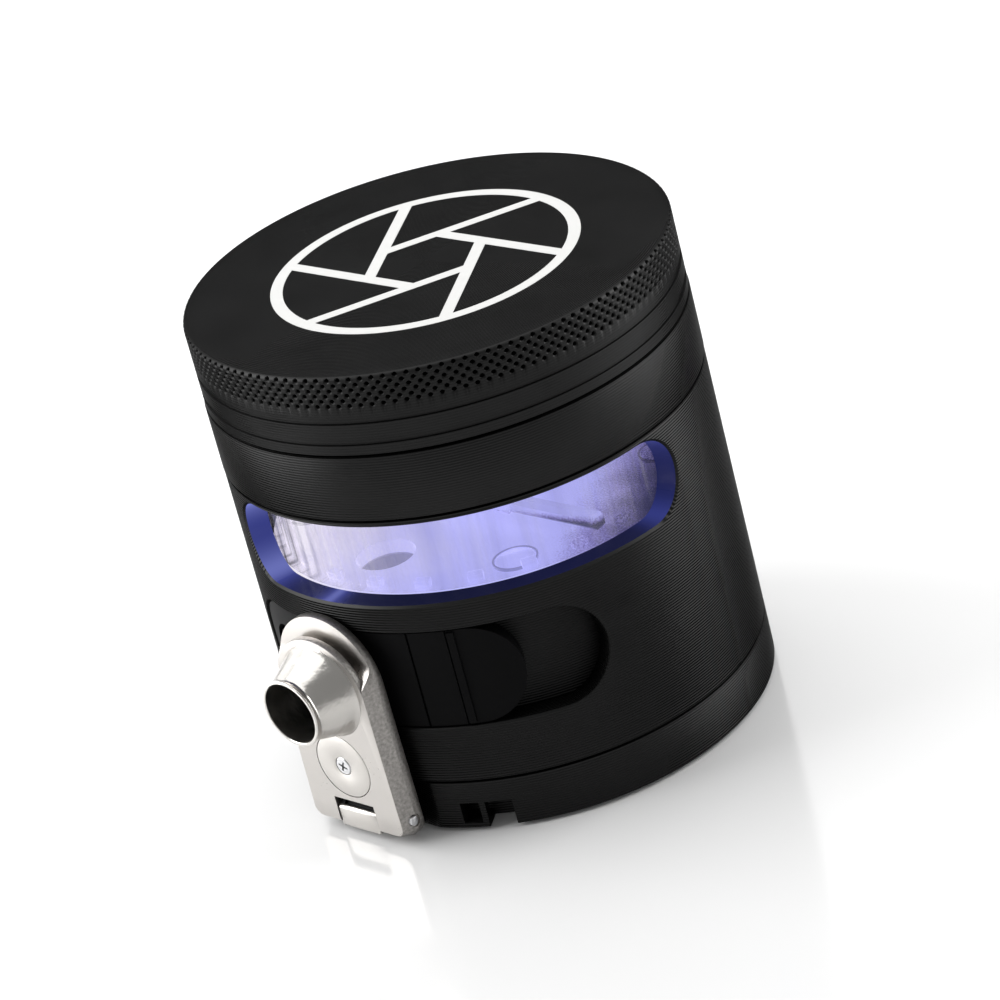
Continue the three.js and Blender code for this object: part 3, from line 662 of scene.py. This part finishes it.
# ------------------------------------------------------------------ gate slider
# A curved black moulding that slides in the slot under a thumb. Its port lines up with the chute
# when it is pushed over. Two grooves cross its face, and a raised rib stands beside one of them.
GATE = {"start": -32.6, "end": 47.2, "middle": 22.25, "half": 6.72}
GATE_INNER, GATE_OUTER, GATE_TRAVEL = 28.8, 31.2, 19.5
RIB = {"start": 31.4, "end": 33.1, "inner": GATE_OUTER - 0.4, "outer": GATE_OUTER + 0.28,
       "bottom": 15.75, "top": 28.75}
GROOVES = [{"start": 21.45, "end": 21.95, "inner": GATE_OUTER - 0.4},
           {"start": 30.9, "end": 31.4, "inner": GATE_OUTER - 0.35}]
GROOVE_BOTTOM, GROOVE_TOP = 14.0, 31.0
gate = put("gate_slider_moulded", round_ended(**GATE, inner=GATE_INNER, outer=GATE_OUTER), black_moulding)
worked(gate, [sector(**RIB)], operation="UNION")
grooves = [sector(**groove, outer=OUTSIDE, bottom=GROOVE_BOTTOM, top=GROOVE_TOP) for groove in GROOVES]
port_ends = [polar(-GATE_TRAVEL, reach, PORT_HEIGHT) for reach in (INSIDE, OUTSIDE)]
worked(gate, [*grooves, rod(PORT_RADIUS, *port_ends, 64)])
ready(gate, "gate", "black_plastic", "gate_slider")

# ------------------------------------------------------------------ hinge
# A nickel-plated leaf with two cheeks is fixed to the base; the cheeks are painted black as a painted shade
# in the gap above the leaf. The pin runs through the cheeks, a black bush between them and the spout plate's
# ears.
HINGE_DEPTH, HINGE_HEIGHT = 33.4, 3.5
PIN_RADIUS, PIN_HALF = 0.65, 8.9
PIN_HOLE = PIN_RADIUS + 0.05
LEAF_LOW, LEAF_HIGH, LEAF_ROUND = (-3.38, -34.9, 1.0), (3.38, -34.3, 4.0), 0.5
STRIP_LOW, STRIP_HIGH = (-3.2, -34.6, 1.05), (3.2, -29.2, 1.7)
CHEEKS, CHEEK_RADIUS = ((-3.2, -2.5), (2.5, 3.2)), 1.25
CHEEK_FRONT, CHEEK_BACK, CHEEK_BOTTOM = 34.4, 29.2, 1.4
BUSH_RADIUS, BUSH_HALF = 0.9, 2.45
satin_nickel = metal("satin_nickel", (0.50, 0.48, 0.455), 0.30, 3200.0, 0.004, 0.12)


def hinge_bar(radius, start, end, segments=48):
    return rod(radius, (start, -HINGE_DEPTH, HINGE_HEIGHT), (end, -HINGE_DEPTH, HINGE_HEIGHT), segments)


def pin_hole():
    return hinge_bar(PIN_HOLE, -BESIDE, BESIDE)


leaf = box(LEAF_LOW, LEAF_HIGH)
near_front, near_top = LEAF_LOW[1] + 0.1, LEAF_HIGH[2] - 0.1
top_front = [e for e in leaf.edges if all(v.co.y < near_front and v.co.z > near_top for v in e.verts)]
bmesh.ops.bevel(leaf, geom=top_front, offset=LEAF_ROUND, affect="EDGES", segments=6, profile=0.5,
                material=-1)
soft_edges(leaf, 0.08)
leaf_piece = put("hinge_leaf", leaf, satin_nickel)
worked(leaf_piece, [box(STRIP_LOW, STRIP_HIGH)], operation="UNION")
cheeks = [box((left, -CHEEK_FRONT, CHEEK_BOTTOM), (right, -CHEEK_BACK, HINGE_HEIGHT))
          for left, right in CHEEKS]
cheeks += [hinge_bar(CHEEK_RADIUS, left, right) for left, right in CHEEKS]
# Painted shade: the cheeks take the black moulding's colour instead of nickel.
worked(leaf_piece, cheeks, black_moulding, "UNION")
worked(leaf_piece, [pin_hole()])
ready(leaf_piece, "housing", "nickel", "hinge_bracket")
bush = put("hinge_bush_moulded", hinge_bar(BUSH_RADIUS, -BUSH_HALF, BUSH_HALF), black_moulding)
worked(bush, [pin_hole()])
ready(bush, "housing", "black_plastic", "hinge_bush")
pin = hinge_bar(PIN_RADIUS, -PIN_HALF, PIN_HALF)
soft_edges(pin, 0.15)
ready(put("hinge_pin_turned", pin, machined_steel), "spout", "steel", "hinge_pin")

# ------------------------------------------------------------------ spout plate
# A die-cast plate, nickel plated: its front is satin polished and its sideways faces are darker, duller
# and mottled. The face ends in an arch, a ramp leads back to the set-back top, and the edge is bevelled.
FRONT = Vector((0, -1, 0))
PLATE = {"half": 8.8, "top_half": 8.4, "bottom": 0.75, "arch": 22.9, "corner": 2.2,
         "back": 31.85, "front": 33.1}
FACE = {"half": 7.88, "top_half": 7.5, "bottom": 4.0, "arch": 21.6, "corner": 0.5,
        "back": 34.0, "front": 35.0}
PLATE_FRONT, PLATE_BEVEL = FACE["front"], 0.9
CORNER_STEPS, ARCH_STEPS, RAMP_STEPS = 10, 50, 10
IN_FRONT, ABOVE = 36.5, 34.0
RAMP_FROM, RAMP_TO, SET_BACK_DEPTH = 22.5, 26.0, 33.0
RAMP = [(SET_BACK_DEPTH + (PLATE_FRONT - SET_BACK_DEPTH) * (1 + cos(pi * i / RAMP_STEPS)) / 2,
         RAMP_FROM + (RAMP_TO - RAMP_FROM) * i / RAMP_STEPS) for i in range(RAMP_STEPS + 1)]
SET_BACK = [(IN_FRONT, RAMP_FROM), (IN_FRONT, ABOVE), (SET_BACK_DEPTH, ABOVE), *reversed(RAMP)]
FUNNEL_HEIGHT, FUNNEL_SEAT = PORT_HEIGHT, 5.3
CAP_HEIGHT, CAP_RADIUS, CAP_SEAT, CAP_SEAT_DEPTH = LATCH_HEIGHT, 4.5, 4.59, 0.95
MAGNET_SEAT, MAGNET_BACK = 3.2, 32.5
CUTOUT_HALF, CUTOUT_TOP = 3.5, 5.3
COUNTERBORE_RADIUS, COUNTERBORE_START = 0.95, 8.5


def extruded(outline, along):
    """A solid drawn out from a flat outline."""
    bm = bmesh.new()
    flat = bm.faces.new([bm.verts.new(point) for point in outline])
    drawn = bmesh.ops.extrude_face_region(bm, geom=[flat])["geom"]
    bmesh.ops.translate(bm, vec=along, verts=[g for g in drawn if isinstance(g, bmesh.types.BMVert)])
    bmesh.ops.recalc_face_normals(bm, faces=bm.faces)
    return bm


def tongue(half, top_half, bottom, arch, corner, back, front):
    """An upright slab with round bottom corners, sides that lean in and an arched top."""
    turns = [radians(90 * i / CORNER_STEPS) for i in range(CORNER_STEPS + 1)]
    left = [(-half + corner - corner * cos(turn), bottom + corner - corner * sin(turn)) for turn in turns]
    right = [(-x, z) for x, z in reversed(left)]
    over = [radians(180 * i / ARCH_STEPS) for i in range(ARCH_STEPS + 1)]
    arc = [(top_half * cos(turn), arch + top_half * sin(turn)) for turn in over]
    return extruded([(x, -back, z) for x, z in right + arc + left], FRONT * (front - back))


def softened(piece, width, sharper_than):
    """Rounds the edges of a piece that has been cut already."""
    bm = bmesh.new()
    bm.from_mesh(piece.data)
    bmesh.ops.remove_doubles(bm, verts=bm.verts, dist=0.02 * MM)
    soft_edges(bm, width * MM, 2, sharper_than)
    bm.to_mesh(piece.data)
    bm.free()


def from_front(radius, back, height, segments=96):
    """The tool that bores into the plate's front, as deep as `back`."""
    return rod(radius, (0, -back, height), (0, -IN_FRONT, height), segments)


def sideways_nickel():
    """Nickel for the plate's sideways faces: darker and duller than the front, mottled and pitted."""
    finish = Finish("nickel_sideways_faces")
    skin = finish.noise(2600.0, 4.0)
    cloud = finish.noise(180.0, 4.0)
    mottling = skin * 1.6 + cloud * 0.4 - 0.6
    return finish.shaded(
        Base_Color=finish.blend(mottling, (0.21, 0.20, 0.19), (0.44, 0.42, 0.40)),
        Metallic=1.0,
        Roughness=cloud * 0.12 + 0.36,
        Normal=finish.bump(skin, 0.03 * MM, 0.5),
    )


slab = tongue(**PLATE)
slab.normal_update()
front_faces = [f for f in slab.faces if f.normal.dot(FRONT) > 0.99]
bmesh.ops.inset_region(slab, faces=front_faces, thickness=PLATE_BEVEL, depth=PLATE_FRONT - PLATE["front"],
                       use_even_offset=True)
plate_nickel = metal("satin_nickel_plate", (0.44, 0.42, 0.40), 0.30, 3200.0, 0.004, 0.12, 0.02)
plate = put("spout_plate_cast", slab, plate_nickel)
worked(plate, [extruded([(-BESIDE, -depth, height) for depth, height in SET_BACK], ACROSS * 2 * BESIDE)])
softened(plate, 0.10, 24)
face = tongue(**FACE)
soft_edges(face, 0.08)
worked(plate, [face], operation="UNION")
worked(plate, [
    from_front(FUNNEL_SEAT, PLATE["back"] - 1, FUNNEL_HEIGHT),
    from_front(CAP_SEAT, PLATE_FRONT - CAP_SEAT_DEPTH, CAP_HEIGHT),
    from_front(MAGNET_SEAT, MAGNET_BACK, CAP_HEIGHT, 48),
    box((-CUTOUT_HALF, -IN_FRONT, UNDER), (CUTOUT_HALF, -INSIDE, CUTOUT_TOP)),
    pin_hole(),
    hinge_bar(COUNTERBORE_RADIUS, COUNTERBORE_START, BESIDE),
    hinge_bar(COUNTERBORE_RADIUS, -BESIDE, -COUNTERBORE_START),
])
plate.data.materials.append(sideways_nickel())
for wall in plate.data.polygons:
    faces_sideways = abs(wall.normal.y) < 0.5
    if faces_sideways:
        wall.material_index = len(plate.data.materials) - 1
ready(plate, "spout", "nickel", "spout_plate", sharp=25)

# ------------------------------------------------------------------ funnel, cap and screw
# The funnel is turned and pressed into the plate; a paper cone slips over its flared lip. A round
# cap hides the magnet that holds the plate shut, under one countersunk cross-head screw.


def laid_forward(bm, height):
    """Turns a shape made about Z so that it points out of the plate's front at a height."""
    bmesh.ops.rotate(bm, cent=(0, 0, 0), matrix=Matrix.Rotation(pi / 2, 3, "X"), verts=bm.verts)
    bmesh.ops.translate(bm, vec=(0, 0, height), verts=bm.verts)
    return bm


def eased(points, steps=6):
    """A smooth curve through [radius, height] points, by Catmull-Rom."""
    ends = [points[0], *points, points[-1]]
    curve = []
    for a, b, c, d in zip(ends, ends[1:], ends[2:], ends[3:]):
        for i in range(steps):
            t = i / steps
            curve.append(tuple(0.5 * (2 * q + (r - p) * t + (2 * p - 5 * q + 4 * r - s) * t * t
                                      + (3 * q - p - 3 * r + s) * t ** 3)
                               for p, q, r, s in zip(a, b, c, d)))
    return curve + [points[-1]]


SCREW_HOLE, CAP_BACK = 1.3, 34.1
CROSS_HALF, CROSS_WALL, CROSS_FLOOR, CROSS_TURNS = 0.72, 0.13, 34.6, (20, 110)
funnel_outside = eased([(6.55, 34.98), (6.2, 35.5), (5.75, 36.6), (5.2, 38.0), (4.62, 39.5), (4.5, 40.0),
                        (4.56, 40.35), (4.65, 40.6), (4.62, 40.74)])
funnel = spun([(4.5, 32.4), (5.1, 32.4), (5.1, 34.98), *funnel_outside, (4.50, 40.8),
               (4.28, 40.8), (4.2, 40.7), (4.2, 37.0), (4.5, 34.0)], 160)
polished_nickel = metal("turned_nickel", (0.60, 0.58, 0.55), 0.22, 3200.0, 0.002, 0.18, 0.60)
ready(put("funnel_turned", laid_forward(funnel, FUNNEL_HEIGHT), polished_nickel), "spout", "nickel", "funnel")

cap = hoop(SCREW_HOLE, CAP_RADIUS, CAP_BACK, PLATE_FRONT, 128, 0.07)
ready(put("magnet_cap_turned", laid_forward(cap, CAP_HEIGHT), satin_nickel), "spout", "nickel", "magnet_cap")
screw = put("cap_screw_cross", laid_forward(spun([
    (0, 32.9), (0.65, 32.9), (0.65, 34.5), (1.24, 34.6), (1.24, 34.93), (1.1, 35.04), (0, 35.08),
], 64), CAP_HEIGHT), machined_steel)
cross = []
for turn in CROSS_TURNS:
    blade = box((-CROSS_HALF, -IN_FRONT, -CROSS_WALL), (CROSS_HALF, -CROSS_FLOOR, CROSS_WALL))
    bmesh.ops.rotate(blade, cent=(0, 0, 0), matrix=Matrix.Rotation(radians(turn), 3, "Y"),
                     verts=blade.verts)
    bmesh.ops.translate(blade, vec=(0, 0, CAP_HEIGHT), verts=blade.verts)
    cross.append(blade)
worked(screw, cross)
ready(screw, "spout", "steel", "cap_screw")

# ------------------------------------------------------------------ grinding ring
# The storey under the lid: a turned cup with teeth and drop holes cut in its floor. It screws into
# the body through a short spigot, over a rubber seal.
RING_BOTTOM, SHOULDER, RIM = 45.2, 53.9, 60.6
RING_RADIUS, LAND_RADIUS, CUP_BORE = BODY_RADIUS + 0.05, 28.6, 26.8
SPIGOT_INNER, SPIGOT_OUTER, SPIGOT_BOTTOM = 24.9, 26.3, 42.8
CUP_FLOOR, CUP_UNDERSIDE, POCKET_RADIUS, POCKET_FLOOR = 48.4, 46.0, 4.3, 47.2
SEAL_INNER, SEAL_OUTER, SEAL_BOTTOM, SEAL_TOP = 28.9, 29.5, 45.15, 45.7
GROOVE_RADIUS, GROOVE_END = 29.8, RING_BOTTOM + 0.8
DROP_HOLES, HOLE_RADIUS, HOLES_BOTTOM, HOLES_TOP = ((7, 6, 0), (15, 9, 20), (23, 14, 0)), 1.9, 45, 50
RING_TEETH, RING_TEETH_BOTTOM, RING_TEETH_TOP = ((11, 6, 30), (19, 10, 18)), 48.0, 61.2
TOOTH_RADIUS, TOOTH_SIDES = 1.5, 4
seal = put("thread_seal_ring", hoop(SEAL_INNER, SEAL_OUTER, SEAL_BOTTOM, SEAL_TOP, soften=0.15), black_rubber)
ready(seal, "seal", "rubber", "thread_seal")
plain_black = anodised("black_anodised_smooth", 0.016, 0.44, 0.026)


def together(*parts):
    """One bmesh from several."""
    bm = bmesh.new()
    for part in parts:
        mesh = bpy.data.meshes.new("part")
        part.to_mesh(mesh)
        part.free()
        bm.from_mesh(mesh)
        bpy.data.meshes.remove(mesh)
    return bm


def places(circles):
    """The azimuth and reach of each place on some circles, given as (reach, count, first azimuth)."""
    return [(first + i * 360 / count, reach) for reach, count, first in circles for i in range(count)]


def teeth(circles, bottom, top):
    """Four-sided teeth that stand or hang on some circles."""
    made = []
    for azimuth, reach in places(circles):
        tooth = rod(TOOTH_RADIUS, polar(azimuth, reach, bottom), polar(azimuth, reach, top), TOOTH_SIDES)
        bmesh.ops.rotate(tooth, cent=polar(azimuth, reach, 0), verts=tooth.verts,
                         matrix=Matrix.Rotation(radians(azimuth), 3, "Z"))
        made.append(tooth)
    return together(*made)


cup = put("grinding_ring_turned", spun([
    (SPIGOT_OUTER, SPIGOT_BOTTOM), (SPIGOT_OUTER, RING_BOTTOM), (LAND_RADIUS, RING_BOTTOM),
    (LAND_RADIUS, GROOVE_END), (GROOVE_RADIUS, GROOVE_END), (GROOVE_RADIUS, RING_BOTTOM),
    (RING_RADIUS, RING_BOTTOM), (RING_RADIUS, SHOULDER), (LAND_RADIUS, SHOULDER), (LAND_RADIUS, RIM),
    (CUP_BORE, RIM), (CUP_BORE, CUP_FLOOR), (POCKET_RADIUS, CUP_FLOOR), (POCKET_RADIUS, POCKET_FLOOR),
    (0, POCKET_FLOOR), (0, CUP_UNDERSIDE), (SPIGOT_INNER, CUP_UNDERSIDE), (SPIGOT_INNER, SPIGOT_BOTTOM),
], soften=0.15), plain_black)
holes = [rod(HOLE_RADIUS, polar(azimuth, reach, HOLES_BOTTOM), polar(azimuth, reach, HOLES_TOP), 24)
         for azimuth, reach in places(DROP_HOLES)]
worked(cup, [together(*holes)])
worked(cup, [teeth(RING_TEETH, RING_TEETH_BOTTOM, RING_TEETH_TOP)], operation="UNION")
ready(cup, "ring", "black_aluminium", "grinding_ring")

# ------------------------------------------------------------------ glide ring and lid
# A slippery ring lies on the cup's rim. The lid turns on it: a plain satin top, a milled band of
# small pits for grip and two shallow channels round the skirt.
GLIDE_INNER, GLIDE_OUTER, GLIDE_BOTTOM, GLIDE_TOP = 27.0, 28.2, 60.9, 61.5
glide = put("friction_ring_moulded", hoop(GLIDE_INNER, GLIDE_OUTER, GLIDE_BOTTOM, GLIDE_TOP, soften=0.15),
            moulded("slippery_plastic", (0.75, 0.74, 0.72), 0.3))
ready(glide, "glide", "milky_plastic", "friction_ring")

LID = {"radius": 31.45, "bottom": 54.3, "top": 64.8, "ceiling": 61.8, "bore": 28.95}
LID_TEETH, LID_TEETH_BOTTOM, LID_TEETH_TOP = ((7, 4, 0), (15, 8, 22.5), (23, 10, 0)), 49.3, 62.0
CHANNELS, CHANNEL_DEPTH, CHANNEL_WALL = ((55.55, 56.5), (58.4, 59.35)), 0.26, 0.05
PITS_ROUND, PIT_ROWS, PIT_PITCH, FIRST_PITS = 136, 6, 0.69, 60.93
PIT_DEPTH, PIT_RADIUS = 0.55, 0.34
ROUND_SAMPLES, ROW_SAMPLES = 8, 5
EDGE_ROUND, EDGE_STEPS, TOP_CIRCLE = 0.6, 8, 29.0
PIT_SHADE_BAND = (60.6, 64.5, 31.33)
floor_radius = LID["radius"] - CHANNEL_DEPTH
outside = [(LID["radius"], LID["bottom"])]
for low, high in CHANNELS:
    outside += [(LID["radius"], low), (floor_radius, low + CHANNEL_WALL),
                (floor_radius, high - CHANNEL_WALL), (LID["radius"], high)]
edge_start = LID["top"] - EDGE_ROUND
band_start = FIRST_PITS - PIT_PITCH / 2
band_steps = round((edge_start - band_start) / (PIT_PITCH / ROW_SAMPLES))
outside += [(LID["radius"], band_start + (edge_start - band_start) * i / band_steps)
            for i in range(band_steps + 1)]
for i in range(1, EDGE_STEPS + 1):
    turn = pi / 2 * i / EDGE_STEPS
    outside.append((LID["radius"] - EDGE_ROUND * (1 - cos(turn)), edge_start + EDGE_ROUND * sin(turn)))
lid_bm = spun([
    *outside, (TOP_CIRCLE, LID["top"]), (0, LID["top"]), (0, LID["ceiling"]),
    (LID["bore"], LID["ceiling"]), (LID["bore"], LID["bottom"]),
], PITS_ROUND * ROUND_SAMPLES)


def pit_depth(azimuth, height):
    """How deep the milled band is at a place: rows of small round pits that step aside by half."""
    row = round((height - FIRST_PITS) / PIT_PITCH)
    if not 0 <= row < PIT_ROWS:
        return 0.0
    along = azimuth / (2 * pi) * PITS_ROUND + 0.5 * (row % 2)
    side = (along - round(along)) * 2 * pi * LID["radius"] / PITS_ROUND
    level = height - FIRST_PITS - row * PIT_PITCH
    away = sqrt(side * side + level * level) / PIT_RADIUS
    return PIT_DEPTH * (1 - away * away) ** 1.5 if away < 1 else 0.0


for v in lid_bm.verts:
    if v.co.xy.length > LID["radius"] - EDGE_ROUND and v.co.z > band_start:
        azimuth = Vector((-v.co.y, v.co.x)).angle_signed(Vector((1, 0)))
        v.co.xy *= 1 - pit_depth(azimuth, v.co.z) / v.co.xy.length
# The lid's pits are painted darker the deeper they lie: painted shade.
lid = put("lid_turned", together(lid_bm, teeth(LID_TEETH, LID_TEETH_BOTTOM, LID_TEETH_TOP)),
          anodised("black_anodised_lid", 0.005, 0.46, 0.026, PIT_SHADE_BAND))
ready(lid, "lid", "black_aluminium", "lid", sharp=40)

# ------------------------------------------------------------------ printed emblem
# A plain iris of six blades in a ring, printed on the lid in white ink that stands a few hundredths
# of a millimetre proud.
EMBLEM_RADIUS, EMBLEM_LINE, INK_THICKNESS, INK_SUNK = 20.0, 1.6, 0.04, 0.01
HEXAGON, MITRE = 7.6, 0.29


def white_ink():
    finish = Finish("white_ink")
    weave = finish.noise(800.0, 3.0)
    return finish.shaded(
        Base_Color=finish.blend(weave, (0.43, 0.43, 0.42), (0.50, 0.50, 0.49)),
        Roughness=weave * 0.15 + 0.4,
    )


ink_bottom, ink_top = LID["top"] - INK_SUNK, LID["top"] + INK_THICKNESS
emblem = put("lid_emblem_print", hoop(EMBLEM_RADIUS - EMBLEM_LINE, EMBLEM_RADIUS, ink_bottom, ink_top, 240),
             white_ink())
# Each blade's line starts at a corner of the hexagon, runs along its side and ends in the ring.
side_reach = HEXAGON * sqrt(3) / 2
line_start = -HEXAGON / 2 - EMBLEM_LINE * MITRE
line_end = sqrt((EMBLEM_RADIUS - EMBLEM_LINE / 2) ** 2 - side_reach ** 2)
blades = []
for i in range(6):
    blade = box((line_start, side_reach - EMBLEM_LINE / 2, ink_bottom),
                (line_end, side_reach + EMBLEM_LINE / 2, ink_top))
    bmesh.ops.rotate(blade, cent=(0, 0, 0), matrix=Matrix.Rotation(i * pi / 3, 3, "Z"), verts=blade.verts)
    blades.append(blade)
worked(emblem, blades, operation="UNION")
ready(emblem, "lid", "milky_plastic")

# ------------------------------------------------------------------ studio
# A wide pale floor, a white room, a soft lamp at each side, one overhead and a lit screen behind.
# The camera is rolled, so that the upright grinder appears to lean.


def studio_floor():
    finish = Finish("studio_floor")
    cloud = finish.noise(2.0, 2.0)
    return finish.shaded(
        Base_Color=finish.blend(cloud, (0.59, 0.59, 0.59), (0.61, 0.61, 0.61)),
        Roughness=cloud * 0.03 + 0.12,
        Specular_IOR_Level=0.7,
        Emission_Color=(1, 1, 1, 1),
        Emission_Strength=0.02,
    )


ground = bmesh.new()
bmesh.ops.create_grid(ground, x_segments=1, y_segments=1, size=3000)
ground_piece = put("studio_floor", ground, studio_floor())
ground_piece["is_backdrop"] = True

ROOM_LIGHT = 0.34
world = bpy.data.worlds.new("white_room")
bpy.context.scene.world = world
world.use_nodes = True
room = world.node_tree.nodes["Background"]
room.inputs["Color"].default_value = (1, 1, 1, 1)
seen = world.node_tree.nodes.new("ShaderNodeLightPath")
brightness = world.node_tree.nodes.new("ShaderNodeMapRange")
brightness.inputs["To Min"].default_value = ROOM_LIGHT
world.node_tree.links.new(seen.outputs["Is Camera Ray"], brightness.inputs["Value"])
world.node_tree.links.new(brightness.outputs["Result"], room.inputs["Strength"])
bpy.context.scene.view_settings.view_transform = "Standard"

CAMERA_AZIMUTH = 48.7


def soft_lamp(name, azimuth, distance, height, size, watts):
    """A large square lamp aimed at the middle of the grinder."""
    light = bpy.data.lights.new(name, "AREA")
    light.shape = "RECTANGLE"
    light.size, light.size_y = size
    light.energy = watts
    lamp = bpy.data.objects.new(name, light)
    lamp.location = polar(azimuth, distance, height) * MM
    lamp.rotation_euler = (Vector((0, 0, 0.035)) - lamp.location).to_track_quat("-Z", "Y").to_euler()
    bpy.context.scene.collection.objects.link(lamp)


soft_lamp("left_softbox", CAMERA_AZIMUTH - 102, 420, 220, (0.42, 0.44), 4.0)
soft_lamp("right_softbox", CAMERA_AZIMUTH + 92, 420, 140, (0.36, 0.46), 3.2)
soft_lamp("top_softbox", CAMERA_AZIMUTH + 180, 250, 1050, (1.2, 1.2), 8.0)
soft_lamp("back_screen", CAMERA_AZIMUTH + 180, 900, 420, (1.6, 0.7), 5.0)

camera_data = bpy.data.cameras.new("camera")
camera_data.sensor_width = 36.0
camera_data.lens = 150.3
camera_data.clip_start, camera_data.clip_end = 0.05, 20.0
camera = bpy.data.objects.new("camera", camera_data)
camera.location = polar(CAMERA_AZIMUTH, 482.9, 267.2) * MM
aim = Vector((2.48, -0.32, 30.75)) * MM
looking = (aim - camera.location).to_track_quat("-Z", "Y")
camera.rotation_mode = "QUATERNION"
camera.rotation_quaternion = looking @ Matrix.Rotation(radians(-14.78), 3, "Z").to_quaternion()
bpy.context.scene.collection.objects.link(camera)
bpy.context.scene.camera = camera

low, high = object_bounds()
